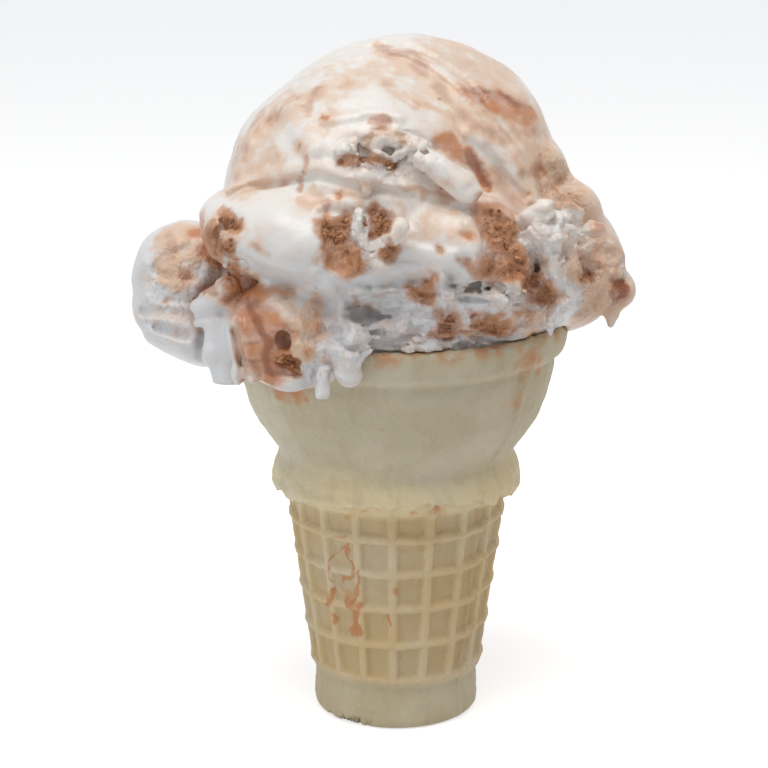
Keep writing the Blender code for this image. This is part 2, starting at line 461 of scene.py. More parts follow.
SMALL_FORMS = (
    # smooth tongue in the middle
    Roll(((3.3, -28.5, 109.6), (7.4, -29.2, 108.4), (10.8, -29.8, 106.2), (11.8, -30.0, 104.6)),
         (1.6, 2.4, 2.8, 2.4), 0.8),
    # torn white lumps of the middle ridge
    Heap((-8.6, -27.2, 110.6), (2.6, 2.0, 1.9), tip=20.0, reach=0.6),
    Heap((-3.3, -28.6, 110.0), (2.6, 2.2, 2.3), tip=-10.0, reach=0.6),
    Heap((-0.2, -28.4, 110.6), (1.8, 1.6, 1.5), reach=0.6),
    Roll(((-6.0, -26.3, 112.8), (-1.0, -26.8, 112.9), (4.0, -27.0, 111.6)), (1.8, 2.3, 1.7), 0.8),
    Roll(((-5.7, -29.6, 108.5), (-5.7, -30.6, 106.2)), (1.7, 1.3), 0.8),
    # lips of the crater in the shelf
    Roll(((-6.6, -35.2, 102.5), (-6.3, -35.8, 98.6), (-5.0, -36.0, 96.2), (-3.2, -35.7, 96.6)),
         (1.0, 1.2, 1.7, 1.3), 0.8),
    Heap((-0.6, -35.0, 99.0), (2.6, 1.7, 1.5), tip=-25.0, reach=0.8),
    # column and blob beside the left lobe
    Roll(((-31.5, -20.5, 81.5), (-30.6, -22.0, 76.0), (-29.3, -23.0, 70.5), (-28.4, -23.4, 68.6)),
         (3.8, 3.5, 3.4, 3.0), 1.2),
    Roll(((-29.0, -24.0, 86.8), (-33.8, -20.0, 81.5)), (2.6, 3.2), 1.5),
    # lumps and drips along the bottom of the front lobe
    Heap((-7.2, -32.6, 80.0), (2.1, 2.0, 1.7), reach=1.0),
    Heap((-8.8, -33.8, 77.6), (2.6, 2.2, 2.6), reach=1.2),
    Heap((-8.6, -34.2, 74.6), (2.5, 2.0, 2.5), reach=1.0),
    Roll(((-12.5, -34.6, 75.0), (-12.5, -35.0, 70.9)), (1.5, 1.35), 0.7),
    Roll(((-22.3, -32.8, 76.5), (-22.3, -33.2, 73.6)), (1.7, 1.5), 0.7),
    Heap((-26.2, -29.8, 73.6), (2.6, 2.4, 2.6), reach=1.2),
    Heap((-18.6, -33.0, 72.6), (3.6, 2.2, 1.9), reach=1.2),
    # torn curl on the right: two rows of lumps, a loose bit, and the hanging strand
    Roll(((22.8, -25.0, 99.4), (26.0, -24.8, 100.6)), (1.9, 2.0), 0.6),
    Roll(((27.2, -24.4, 99.6), (29.4, -23.6, 101.0), (31.2, -22.6, 99.6)), (1.9, 1.6, 1.8), 0.5),
    Roll(((22.8, -26.4, 96.2), (27.0, -25.8, 96.2), (31.4, -23.0, 95.8)), (2.1, 2.4, 1.6), 0.6),
    Heap((29.7, -24.6, 93.6), (1.6, 1.4, 1.5), reach=0.4),
    Heap((34.6, -17.5, 96.4), (2.6, 2.2, 1.8), tip=20.0, reach=0.8),
    Roll(((26.0, -25.6, 94.6), (27.0, -25.8, 90.4), (28.4, -25.4, 87.6), (29.2, -25.0, 85.4)),
         (2.3, 1.7, 1.9, 2.2), 0.8),
    Roll(((29.0, -25.2, 85.6), (27.4, -25.4, 81.6), (26.9, -25.5, 78.6)), (2.0, 1.7, 0.7), 0.8),
    # bulb and drip on the far right
    Heap((40.0, -6.0, 83.0), (3.5, 3.4, 3.6), reach=1.5),
    Roll(((39.0, -6.5, 81.0), (38.8, -6.8, 78.8), (38.7, -6.8, 76.8)), (2.2, 1.4, 0.6), 1.0),
    # bumps down the right shoulder
    Heap((21.4, -1.0, 114.6), (5.0, 6.0, 3.0), tip=50.0, reach=3.0),
    Heap((28.6, -3.0, 106.4), (4.2, 5.0, 2.6), tip=55.0, reach=3.0),
    Heap((33.4, -5.0, 99.4), (4.4, 5.4, 3.0), tip=50.0, reach=3.0),
)

HOLLOWS = (
    # amber recess right of the ridge
    Heap((11.6, -27.2, 111.4), (4.4, 3.0, 2.6), tip=30.0, reach=0.8),
    # shadowed gap under the ridge
    Roll(((-9.4, -29.3, 108.4), (-5.0, -30.4, 108.4), (-0.4, -30.6, 107.8), (3.0, -30.0, 108.0)),
         (0.9, 1.3, 1.4, 0.8), 0.5),
    Roll(((0.5, -29.0, 109.2), (3.4, -28.6, 110.4), (6.6, -28.4, 110.6)), (0.8, 1.0, 0.8), 0.5),
    # crater with crumbs in the shelf
    Heap((-9.6, -35.6, 98.8), (3.3, 3.0, 4.2), tip=-8.0, reach=0.8),
    Heap((-3.6, -35.6, 99.8), (2.6, 2.8, 3.6), tip=12.0, reach=0.8),
    Heap((-9.8, -35.6, 94.4), (2.4, 1.8, 2.2), reach=0.8),
    # hollow of crumbs at the shelf's left end
    Heap((-29.6, -27.6, 95.8), (2.6, 2.4, 3.6), tip=10.0, reach=1.0),
    Heap((-28.6, -28.6, 90.2), (2.4, 2.4, 2.6), reach=1.0),
    # holes in the front lobe
    Heap((-19.2, -34.9, 80.2), (1.3, 2.6, 1.5), reach=0.3),
    Roll(((-18.2, -34.6, 87.8), (-15.8, -34.9, 85.6)), (0.9, 1.1), 0.3),
    Heap((-14.0, -34.6, 88.0), (1.1, 1.8, 0.8), reach=0.3),
    Heap((-12.6, -35.0, 82.4), (0.9, 1.8, 1.0), reach=0.3),
    Heap((-18.4, -34.8, 76.4), (2.0, 1.8, 1.0), reach=0.3),
    # pits in the right lobe
    Heap((33.4, -13.2, 88.4), (2.2, 2.0, 1.8), reach=0.8),
    # holes in the torn band above the rim
    Heap((12.0, -31.6, 81.8), (1.3, 1.6, 1.2), reach=0.4),
    Heap((7.6, -31.6, 80.4), (2.2, 1.6, 1.6), reach=0.6),
)

TORN_PATCHES = (
    TornPatch((-1.0, -27.0, 110.5), (12.0, 7.0, 5.5), 1.0, 2.2),
    TornPatch((-7.0, -35.0, 97.5), (6.5, 5.0, 7.0), 0.8, 1.7),
    TornPatch((-29.5, -27.0, 93.5), (5.0, 6.0, 8.0), 1.0, 1.8),
    TornPatch((19.0, -30.0, 92.0), (8.0, 8.0, 10.0), 1.2, 2.0),
    TornPatch((28.5, -24.0, 90.0), (8.0, 8.0, 14.0), 1.1, 2.2),
    TornPatch((12.0, -30.0, 81.5), (31.0, 14.0, 10.5), 2.0, 2.7, 1.6),
    TornPatch((-12.0, -35.0, 80.0), (9.0, 5.0, 10.5), 0.75, 2.2),
    TornPatch((35.0, -11.0, 86.0), (9.0, 10.0, 10.0), 1.3, 2.5),
    TornPatch((29.0, -11.0, 99.0), (7.0, 10.0, 11.0), 0.7, 2.6),
    TornPatch((-38.0, -13.0, 83.0), (11.0, 8.0, 12.0), 0.25, 3.0),
    TornPatch((27.5, -26.0, 96.5), (7.0, 6.0, 6.5), 1.3, 1.8),
    TornPatch((27.5, -26.0, 86.0), (4.0, 5.0, 7.0), 0.8, 1.6),
    TornPatch((10.0, 24.0, 82.0), (34.0, 22.0, 8.0), 0.9, 2.9, 1.7),
)

RELIEF = (
    # edge of the white front layer, and the step beyond it
    Stroke(((-16.5, 114.5), (-8.5, 118), (-2.5, 119.5), (2, 118.5), (6.5, 116), (11, 112),
            (14.5, 108), (17, 104.5), (19.5, 101.5), (21.5, 97)), 1.1, 0.6),
    Stroke(((-17, 115.5), (-9, 119), (-2, 120.5), (2.5, 119.5), (7, 117),
            (12, 113), (15.5, 109), (18, 105.5), (21, 102)), 1, -0.55),
    # white tail running down to the right
    Stroke(((13, 103.5), (16, 101), (19.5, 98.5), (22, 94.5), (24, 92)), 1.5, 0.7),
    Stroke(((15.5, 100), (18.5, 95.5), (22, 92)), 1, -0.6),
    Stroke(((21, 101), (22.5, 97.5)), 1.2, 0.9),
    Stroke(((25, 98), (26.5, 93)), 1, -0.6),
    # lump and folds on the left of the dome
    Stroke(((-18.5, 107), (-17, 104), (-14.5, 100)), 2.2, 1),
    Stroke(((-13.5, 104.5), (-9, 105), (-4.5, 105.5), (0.5, 105)), 1, 0.5),
    Stroke(((-26, 102.5), (-24, 106.5), (-20.5, 109.5)), 1.6, 0.5),
    Stroke(((-27, 97), (-24.5, 102.5), (-21.5, 106.5)), 0.9, -0.5),
    # shelf: its lip, its bulge and the creases round it
    Stroke(((-28, 93.5), (-23.5, 95), (-19.5, 95.5), (-15, 96)), 1.4, 0.7),
    Stroke(((-12, 95.5), (-6.5, 93.5), (-2.5, 93.5), (2.5, 92)), 1.6, 0.6),
    Stroke(((-18.5, 84),), 7, 1.2),
    Stroke(((-29.5, 92), (-25.5, 93.5), (-19.5, 94), (-13.5, 94.5),
            (-9, 93), (-3, 92), (2.5, 91)), 0.8, -0.9),
    Stroke(((-26.5, 80.5), (-23.5, 78.5), (-18.5, 76.5), (-13.5, 76.5)), 1, -1),
    Stroke(((5, 91), (9, 89.5), (14.5, 88), (18.5, 87)), 0.8, -0.6),
    # lips of the crater and of the shelf's right half
    Stroke(((-13.5, 89), (-11.5, 90), (-8, 89.5), (-4.5, 89.5)), 1, 0.7),
    Stroke(((-0.5, 87.5), (1, 85)), 1.4, 0.6),
    Stroke(((0.5, 82), (5.5, 80.5), (10, 80)), 1.5, 0.8),
    Stroke(((12, 86), (13.5, 82.5), (14, 80)), 1.3, 0.6),
    # folds of the left lobe
    Stroke(((-44.5, 82), (-42, 84), (-38.5, 85.5)), 1.2, 0.6),
    Stroke(((-44.5, 76.5), (-41, 77), (-36.5, 76.5)), 1.6, 0.6),
    Stroke(((-33, 80), (-35, 76.5)), 1.5, 0.6),
    Stroke(((-44.5, 68.5), (-38.5, 66), (-33, 64.5)), 1.6, 0.8),
    Stroke(((-45.5, 73), (-41, 72.5), (-35.5, 71.5), (-31, 72)), 1, -1),
    Stroke(((-43, 80), (-40.5, 78.5)), 0.8, -0.5),
    Stroke(((-43.5, 86), (-44.5, 82.5)), 0.8, -0.4),
    Stroke(((-43, 70), (-37.5, 68.5)), 0.9, -0.7),
    # ridges of the front lobe
    Stroke(((-27.5, 70), (-26, 65), (-25, 61)), 1, 0.8),
    Stroke(((-18.5, 70.5), (-15, 68.5), (-11.5, 70)), 1.2, 0.7),
    Stroke(((-14, 77), (-11.5, 75), (-10, 73), (-8.5, 69), (-8, 66.5)), 1.2, 1),
    Stroke(((-17, 65), (-13.5, 64), (-11, 65.5)), 1.4, 0.8),
    Stroke(((-28, 68.5), (-27, 64), (-26.5, 60)), 0.9, -1.2),
    Stroke(((-34.5, 69), (-35, 65)), 0.9, -0.8),
    # ledges of the torn band
    Stroke(((-7.5, 74), (-2, 74.5), (4, 75.5), (7.5, 76.5)), 1.1, 1.2),
    Stroke(((-0.5, 69), (-6.5, 68.5)), 2, 0.8),
    Stroke(((8.5, 74), (14.5, 74), (18.5, 72.5)), 1.3, 1.2),
    Stroke(((-3, 78), (2.5, 78.5), (7.5, 77.5)), 1, 1),
    Stroke(((-8, 76.5), (-2, 76.5), (5, 77.5), (10, 77.5)), 0.9, -0.45),
    Stroke(((-6.5, 71), (0.5, 71.5), (7.5, 71.5)), 0.9, -1),
    Stroke(((9, 75.5), (16, 75.5), (21.5, 74)), 0.8, -0.45),
    Stroke(((18.5, 70), (25, 70.5)), 1, -1),
    # creases round the brown mass on the right
    Stroke(((15.5, 87.5), (14.5, 83.5), (14.5, 80)), 0.8, -0.45),
    Stroke(((22.5, 83.5), (24, 79.5), (23, 76.5)), 1, -0.45),
    Stroke(((18, 92), (23, 90.5), (25.5, 90.5)), 1.6, 0.5),
    Stroke(((27.5, 89.5), (33, 87.5)), 1, -0.7),
)


PALE_TAN = (
    Stroke(((-19, 107.5), (-9, 112), (0.5, 115)), 3.5, 0.45),
    Stroke(((-17, 100), (-11.5, 105.5)), 2.5, 0.4),
    Stroke(((4, 111.5), (9, 104)), 3, 0.45),
    Stroke(((-10, 90.5), (-4.5, 91.5), (4, 90.5)), 2, 0.35),
    Stroke(((5.5, 86), (11, 84)), 3, 0.4),
    Stroke(((9.5, 120),), 7, 0.5),
    Stroke(((16.5, 115.5),), 8, 0.6),
    Stroke(((21.5, 107.5),), 7, 0.6),
    Stroke(((26.5, 98),), 8, 0.7),
    Stroke(((32, 90.5),), 8, 0.7),
    Stroke(((36.5, 84),), 7, 0.6),
    Stroke(((34, 77),), 8, 0.8),
    Stroke(((39, 75.5),), 5, 0.8),
    Stroke(((-42, 86), (-39.5, 82.5), (-41.5, 80), (-39, 78.5)), 2.2, 0.9),
    Stroke(((-35.5, 86.5), (-38.5, 86.5)), 2.4, 0.9),
    Stroke(((-35.5, 82.5), (-33, 83.5)), 2.5, 0.6),
    Stroke(((-25.5, 100), (-23.5, 104), (-19.5, 107.5)), 3, 0.45),
    Stroke(((-27, 94), (-23.5, 97)), 4, 0.5),
    Stroke(((-17, 89.5), (-13.5, 92)), 1.2, 0.8),
    Stroke(((-22, 84),), 3, 0.25),
    Stroke(((2.5, 87.5), (9, 86)), 4, 0.3),
    Stroke(((-2, 118.5), (6, 115), (9.5, 109.5), (12, 105), (18, 102.5)), 2.4, 0.5),
    Stroke(((-17, 68.5),), 5, 0.6),
    Stroke(((-19.5, 65),), 4, 0.6),
    Stroke(((-11.5, 66.5),), 3, 0.4),
    Stroke(((-26.5, 75.5),), 4, 0.8),
    Stroke(((5.5, 74.5),), 4, 0.6),
    Stroke(((18, 70),), 6, 0.6),
    Stroke(((25, 68.5),), 5, 0.8),
    Stroke(((28.5, 74),), 5, 0.6),
    Stroke(((-9, 80),), 4, 0.7),
    Stroke(((-3.5, 100), (0.5, 100)), 2, 0.7),
    Stroke(((-29, 84),), 4, 0.7),
)

# rosy swirls; one stroke is also painted shade under the shelf
ROSY_SWIRL_AND_SHADE = (
    Stroke(((-14, 108), (-11, 111), (-8, 112.5)), 1, 0.55),
    Stroke(((-2, 111.5), (1, 110), (4, 107.5)), 0.9, 0.5),
    Stroke(((-22.5, 104.5), (-21.5, 107.5), (-19, 110)), 1.4, 0.6),
    Stroke(((6, 107.5), (8.5, 105.5), (11.5, 102.5)), 1, 0.55),
    Stroke(((-2.5, 119.5), (1.5, 118), (4, 116), (7.5, 112), (9, 109)), 1.6, 0.8),
    Stroke(((10, 107), (13.5, 105), (16.5, 103), (19.5, 101), (21.5, 97)), 1.4, 0.7),
    Stroke(((-13, 111), (-14.5, 109), (-15, 107.5)), 1.4, 0.9),
    Stroke(((-24, 108.5), (-25.5, 104), (-26.5, 100)), 1.4, 0.6),
    Stroke(((-28, 103), (-28.5, 98), (-28, 95)), 1.4, 0.6),
    Stroke(((-15.5, 97.5), (-17, 94.5), (-17.5, 92)), 0.7, 1),
    Stroke(((-20.5, 93.5), (-18.5, 95)), 1, 0.6),
    # partly pink swirl, partly painted shade: the pinkish dark patch under the shelf's left end
    Stroke(((-24.5, 80.5), (-23.5, 78.5), (-25, 77)), 2, 0.9),
    Stroke(((5.5, 95), (8.5, 92.5), (12.5, 91), (18, 89.5), (21.5, 87.5)), 1.2, 0.8),
    Stroke(((0.5, 93), (4, 92), (7.5, 90.5), (9, 89.5)), 0.7, 0.6),
    Stroke(((-40.5, 86), (-39, 83.5), (-40, 82)), 1, 0.8),
    Stroke(((-9, 91), (-6.5, 90.5)), 1, 0.5),
    Stroke(((-12.5, 90.5), (-12, 88.5)), 1, 1),
    Stroke(((14.5, 95.5), (18, 92), (23, 90.5)), 2, 0.6),
    Stroke(((24, 100), (25.5, 96)), 1, 0.7),
    Stroke(((25.5, 93), (28.5, 92)), 1.2, 0.6),
    Stroke(((35, 87.5), (36.5, 84)), 2, 0.6),
    Stroke(((-22, 100), (-23.5, 97)), 2, 0.35),
    Stroke(((-12, 115.5), (-8.5, 117)), 1.5, 0.4),
    Stroke(((-1, 112.5), (0.5, 107.5)), 2.5, 0.3),
    Stroke(((-27, 68.5), (-25, 65)), 1.4, 0.8),
    Stroke(((-15, 70), (-11.5, 74)), 1.6, 0.5),
)

CARAMEL = (
    Stroke(((-23.5, 70), (-22, 66), (-21.5, 61)), 1.4, 1.3),
    Stroke(((-25.5, 74), (-24, 70.5)), 1.2, 1.2),
    Stroke(((-20.5, 61), (-17, 61)), 1, 1.2),
    Stroke(((12, 100), (13.5, 96), (14, 93.5)), 1.6, 1.25),
    Stroke(((18, 111), (21.5, 109)), 1.6, 1.2),
    Stroke(((26, 97), (28.5, 93.5), (32, 91)), 3, 0.6),
    Stroke(((20, 80), (21.5, 76.5)), 2, 1.1),
    Stroke(((39, 78.5), (40.5, 76.5)), 1.4, 1.25),
    Stroke(((28.5, 89.5), (35, 88)), 1.2, 0.8),
    Stroke(((14.5, 111), (18, 109.5), (22.5, 107.5)), 3, 1),
    Stroke(((18, 108), (23, 104)), 3, 0.7),
    Stroke(((25, 102.5), (27, 95)), 3, 0.5),
    Stroke(((8.5, 100), (11.5, 98), (13.5, 95.5)), 2.6, 1),
    Stroke(((-27, 75.5), (-24.5, 74), (-23.5, 70), (-22, 66), (-22.5, 62)), 4.6, 1),
    Stroke(((-18.5, 74), (-21, 75.5)), 2.5, 0.8),
    Stroke(((-15, 66), (-13.5, 70)), 1.6, 0.6),
    Stroke(((-35, 75.5), (-32.5, 76.5)), 1.2, 0.9),
    Stroke(((-38, 79),), 1.3, 1),
    Stroke(((-41, 74.5),), 0.8, 0.9),
    Stroke(((-37, 87), (-34, 87.5)), 1.5, 1),
    Stroke(((-2.5, 103),), 1.7, 1),
    Stroke(((-5.5, 104.5), (-3, 105), (-1, 104)), 0.8, 0.9),
    Stroke(((5, 98), (7.5, 100)), 1.2, 0.9),
    Stroke(((36.5, 83.5), (38, 80.5)), 2, 0.6),
    Stroke(((39.5, 77.5),), 1.9, 1),
    Stroke(((29, 82.5),), 0.9, 1),
    Stroke(((12, 84),), 1.2, 0.9),
    Stroke(((7, 81.5),), 1, 0.9),
    Stroke(((-10, 91),), 0.8, 0.8),
    Stroke(((25, 67.5), (27.5, 69)), 2, 0.9),
    Stroke(((18.5, 67.5),), 2, 0.7),
    Stroke(((17, 84.5), (18.5, 82.5)), 2, 0.8),
    Stroke(((-17.5, 100),), 1, 0.7),
    Stroke(((-12, 106),), 0.8, 0.8),
    Stroke(((12.5, 92), (13.5, 91)), 1, 0.8),
)

CRUMB = (
    Stroke(((-29, 87.5), (-28, 86.5)), 1.7, 1),
    Stroke(((-29, 81.5),), 1.7, 1),
    Stroke(((-33, 84), (-31.5, 82)), 2.4, 0.75),
    Stroke(((-28, 78.5),), 2, 0.7),
    Stroke(((-12, 86), (-9, 84), (-8, 86)), 2.5, 1),
    Stroke(((-10, 80.5), (-8, 79.5)), 3, 0.75),
    Stroke(((-4, 87.5), (-3, 86), (-4.5, 84), (-2.5, 82.5)), 2.3, 1.2),
    Stroke(((16, 87), (18, 84), (19.5, 80.5), (17, 78.5)), 3.2, 0.9),
    Stroke(((20.5, 86), (21.5, 83.5)), 1.6, 0.8),
    Stroke(((2.5, 74), (5, 74.5), (6.5, 75.5)), 1.8, 0.9),
    Stroke(((-4.5, 72), (-3.5, 71)), 1, 0.9),
    Stroke(((6.5, 68.5), (8.5, 70), (9, 68)), 2.6, 1),
    Stroke(((14, 71), (17.5, 70), (18, 68.5)), 1.8, 0.9),
    Stroke(((23, 77), (25, 75.5)), 2.4, 0.8),
    Stroke(((28.5, 70.5),), 1.5, 0.8),
    Stroke(((19.5, 74), (22, 72)), 2, 0.7),
    Stroke(((34, 78.5),), 1.5, 1),
    Stroke(((-18, 63), (-19.5, 63.5)), 1.4, 1),
    Stroke(((-14, 75.5),), 0.9, 1),
    Stroke(((-8, 73), (-8, 71)), 1.2, 0.6),
    Stroke(((-9, 96.5), (-5, 97), (-0.5, 96.5)), 0.9, 0.9),
    Stroke(((11, 80), (14.5, 78.5)), 1.2, 0.7),
    Stroke(((11, 66.5), (16, 67)), 1.4, 0.6),
)

SYRUP = (
    Stroke(((-11.5, 30.5), (-12.5, 27), (-11.5, 23.5)), 0.45, 0.8),
    Stroke(((-11.5, 29.5), (-8.5, 30.5), (-8, 27), (-9.5, 24)), 0.4, 0.8),
    Stroke(((-9, 25), (-7, 26), (-7, 22.5)), 0.5, 0.8),
    Stroke(((-12.5, 21.5), (-13, 19.5)), 0.6, 1),
    Stroke(((-10, 21), (-9, 19.5), (-7.5, 21), (-7.5, 23.5)), 0.5, 0.9),
    Stroke(((-10, 22.5), (-8.5, 21.5)), 1.1, 0.6),
    Stroke(((-11.5, 17.5), (-11.5, 16)), 0.6, 1),
    Stroke(((-8, 18), (-7.5, 15.5), (-7, 14)), 0.7, 1.1),
    Stroke(((-2, 17.5), (-1.5, 16)), 0.6, 1),
    Stroke(((-9, 32), (-11, 32)), 0.6, 0.6),
    Stroke(((-8.5, 19.5), (-7, 19)), 0.8, 0.7),
    Stroke(((0, 22), (0, 21)), 0.7, 0.5),
    Stroke(((-20, 59), (-17.5, 58)), 2.4, 0.7),
    Stroke(((-24, 61),), 2.2, 0.5),
    Stroke(((24, 64.5), (22.5, 61)), 2.6, 0.55),
    Stroke(((22.5, 57.5), (21.5, 55.5)), 2.4, 0.35),
    Stroke(((-11.5, 37), (-8, 36.5), (-3, 37)), 0.9, 0.45),
    Stroke(((3, 36.5), (8.5, 36.5)), 0.9, 0.45),
)

# places that stay white cream, over every tint
CLEAN_CREAM = (
    Stroke(((3.5, 97.5), (7.5, 95.5), (11, 94), (12, 92.5)), 2.4, 1.2),
    Stroke(((-8.5, 99.5),), 1.8, 1),
    Stroke(((-3, 99), (-0.5, 99.5)), 1.5, 0.9),
    Stroke(((-5.5, 94.5),), 1.4, 1),
    Stroke(((-6.5, 87.5), (-6.5, 84), (-5, 82.5), (-2.5, 83.5)), 1.2, 1.1),
    Stroke(((23, 87.5), (25.5, 89), (31.5, 87)), 2.4, 1),
    Stroke(((23, 85), (27, 85.5)), 2.2, 1),
    Stroke(((27.5, 82.5), (28.5, 77.5), (31.5, 75), (26.5, 68.5)), 1.7, 1),
    Stroke(((-14, 77), (-11.5, 75), (-10, 73), (-8.5, 69), (-8, 66.5)), 1.7, 1.1),
    Stroke(((-8.5, 62.5),), 3.2, 1.1),
    Stroke(((-12.5, 59.5),), 1.6, 1),
    Stroke(((-26.5, 81), (-21.5, 78), (-17, 77)), 1.6, 0.8),
    Stroke(((8.5, 74.5), (14.5, 73.5), (20, 74)), 3, 0.8),
    Stroke(((-6, 69), (2.5, 69)), 4.5, 0.9),
    Stroke(((0.5, 66), (7.5, 66), (21.5, 67.5)), 1.2, 0.9),
    Stroke(((-45.5, 74), (-47, 77), (-46, 82)), 2.5, 0.7),
)


TINTS = {"tan": PALE_TAN, "rosy": ROSY_SWIRL_AND_SHADE, "caramel": CARAMEL, "crumb": CRUMB}


def covered(strokes: tuple[Stroke, ...], places: np.ndarray) -> np.ndarray:
    """Return the strength of the strongest stroke at each place on the front plane."""
    cover = np.zeros(len(places), np.float32)
    for stroke in strokes:
        cover = np.maximum(cover, stroke.cover(places))
    return cover


@dataclass
class Scoop:
    """The ice cream: one melted-together body, heaped and torn.

    Attributes:
        foot: Centre of the wafer's foot, in metres.
        voxel: Spacing of the sampled field, in millimetres.
        most_triangles: Upper limit for the finished mesh.
        rim_height: Height of the wafer's rim, in millimetres.
        rim_radius: Outer radius of the rim.
        wall: Thickness of the wafer's bowl.
    """

    foot: Vector
    voxel: float
    most_triangles: int
    rim_height: float
    rim_radius: float
    wall: float = 3.0
    lumps: LumpNoise = field(default_factory=lambda: LumpNoise(11))
    curds: CurdNoise = field(default_factory=lambda: CurdNoise(23))

    def add_shapes(self, points: np.ndarray, distance: np.ndarray, shapes: tuple) -> None:
        """Melt shapes into a field, in place, wherever they can reach."""
        for shape in shapes:
            near = self.within(points, shape)
            joined = melt(distance[near], shape.distance(points[near]), shape.reach)
            distance[near] = joined

    def cut_shapes(self, points: np.ndarray, distance: np.ndarray, shapes: tuple) -> None:
        """Hollow shapes out of a field, in place, wherever they can reach."""
        for shape in shapes:
            near = self.within(points, shape)
            left = -melt(-distance[near], shape.distance(points[near]), shape.reach)
            distance[near] = left

    @staticmethod
    def within(points: np.ndarray, shape: Heap | Roll) -> np.ndarray:
        """Return which points a shape can change."""
        low, high = shape.box()
        margin = shape.reach + 3.0
        return np.all((points > low - margin) & (points < high + margin), axis=1)

    def torn(self, points: np.ndarray) -> np.ndarray:
        """Return how torn the surface is at each point, from 0 to 1."""
        share = np.zeros(len(points), np.float32)
        for patch in TORN_PATCHES:
            share = np.maximum(share, patch.share(points))
        return share

    def rough(self, places: np.ndarray, grain: float) -> np.ndarray:
        """Return the height of torn cream, about -1 to 1: packed curds, lumps and pits.

        Args:
            places: Places, in millimetres, one a row.
            grain: Width of the curds.

        Returns:
            One height for each place.
        """
        shifts = (5.0, 47.0, 91.0)
        warp = np.stack([self.lumps.at(places + shift, 1.7 * grain) for shift in shifts], 1)
        bent = places + 0.55 * grain * warp
        grains = self.curds.at(bent, grain)
        fine = self.curds.at(bent + 31.0, 0.42 * grain)
        broad = self.lumps.layered(bent + 13.0, 2.6 * grain, 3)
        pits = smooth_step(0.25, 0.6, self.lumps.at(bent + 200.0, 0.9 * grain))
        return 0.9 * (grains - 0.5) + 0.4 * (fine - 0.5) + 0.85 * broad - 0.45 * pits

    def tear(self, points: np.ndarray, distance: np.ndarray) -> None:
        """Break the torn patches up into curds, in place."""
        for patch in TORN_PATCHES:
            share = patch.share(points)
            near = (share > 0.01) & (np.abs(distance) < 5.0)
            if near.any():
                flat = np.array([1.0, 1.0, patch.layered], np.float32)
                height = self.rough(points[near] * flat, patch.grain)
                distance[near] -= patch.depth * share[near] * height

    def crumble(self, points: np.ndarray, distance: np.ndarray, place: np.ndarray) -> None:
        """Roughen the crumbly dabs and sink the caramel a little, in place."""
        front = in_front(points)
        crumbly = covered(CRUMB, place)
        crumbly *= front
        near = (crumbly > 0.05) & (np.abs(distance) < 4.0)
        if near.any():
            height = self.rough(points[near], 1.5)
            distance[near] -= crumbly[near] * (0.8 * height - 0.25)
        sunk = covered(CARAMEL, place)
        distance += 0.45 * sunk * front

    def wafer_wall(self, points: np.ndarray) -> np.ndarray:
        """Return the distance to the wafer's bowl wall, negative inside it."""
        radius = np.hypot(points[:, 0], points[:, 1])
        below = np.clip(self.rim_height - points[:, 2], 0.0, 30.0)
        outside = self.rim_radius + 0.15 - 0.10 * below - 1.2 * smooth_step(4.5, 6.0, below)
        inside = outside - self.wall
        return np.maximum(np.maximum(inside - radius, radius - outside),
                          points[:, 2] - self.rim_height - 0.1)

    def distance(self, points: np.ndarray) -> np.ndarray:
        """Return how far each point lies outside the ice cream.

        Args:
            points: Places, in millimetres from the foot, one a row.

        Returns:
            Distances in millimetres, negative inside.
        """
        bent = points + 0.9 * np.stack(
            [self.lumps.at(points + shift, 9.0) for shift in (3.0, 41.0, 77.0)], 1
        )
        result = np.full(len(points), 60.0, np.float32)
        for shape in BIG_FORMS:
            result = melt(result, shape.distance(bent), shape.reach).astype(np.float32)
        self.add_shapes(bent, result, SMALL_FORMS)
        self.cut_shapes(bent, result, HOLLOWS)
        self.tear(points, result)
        place = front_view(points)
        self.crumble(points, result, place)
        front = in_front(points)
        for stroke in RELIEF:
            result -= front * stroke.cover(place)
        result -= 0.16 * self.lumps.layered(points, 4.0, 2)
        result = np.maximum(result, -self.wafer_wall(points))
        return np.maximum(result, self.rim_height - 7.0 - points[:, 2])

    def sample(self) -> tuple[np.ndarray, np.ndarray]:
        """Sample the field near the surface only.

        Returns:
            The dense array of clipped distances, and its lowest corner in millimetres.
        """
        band = 2.5 * self.voxel
        block = 4
        low = np.array([-54.0, -46.0, self.rim_height - 10.0])
        high = np.array([50.0, 46.0, 136.0])
        count = np.ceil((high - low) / (self.voxel * block)).astype(int)
        coarse_axes = [low[a] + self.voxel * block * (np.arange(count[a]) + 0.5) for a in range(3)]
        grid = np.stack(np.meshgrid(*coarse_axes, indexing="ij"), -1)
        centres = grid.reshape(-1, 3).astype(np.float32)
        coarse = self.distance(centres)
        reach = 0.9 * self.voxel * block + 1.4
        close = np.abs(coarse) < reach
        dense = np.repeat(np.where(coarse > 0.0, band, -band).astype(np.float32), block**3)
        dense = dense.reshape(-1, block, block, block)
        steps = self.voxel * (np.arange(block) + 0.5 - 0.5 * block)
        inner = np.stack(np.meshgrid(steps, steps, steps, indexing="ij"), -1).reshape(-1, 3)
        fine = (centres[close][:, None, :] + inner[None].astype(np.float32)).reshape(-1, 3)
        values = np.empty(len(fine), np.float32)
        batch = 1_500_000
        for start in range(0, len(fine), batch):
            values[start:start + batch] = self.distance(fine[start:start + batch])
        dense[close] = np.clip(values, -band, band).reshape(-1, block, block, block)
        dense = dense.reshape(*count, block, block, block).transpose(0, 3, 1, 4, 2, 5)
        dense = dense.reshape(count * block)
        return np.ascontiguousarray(dense), low + 0.5 * self.voxel

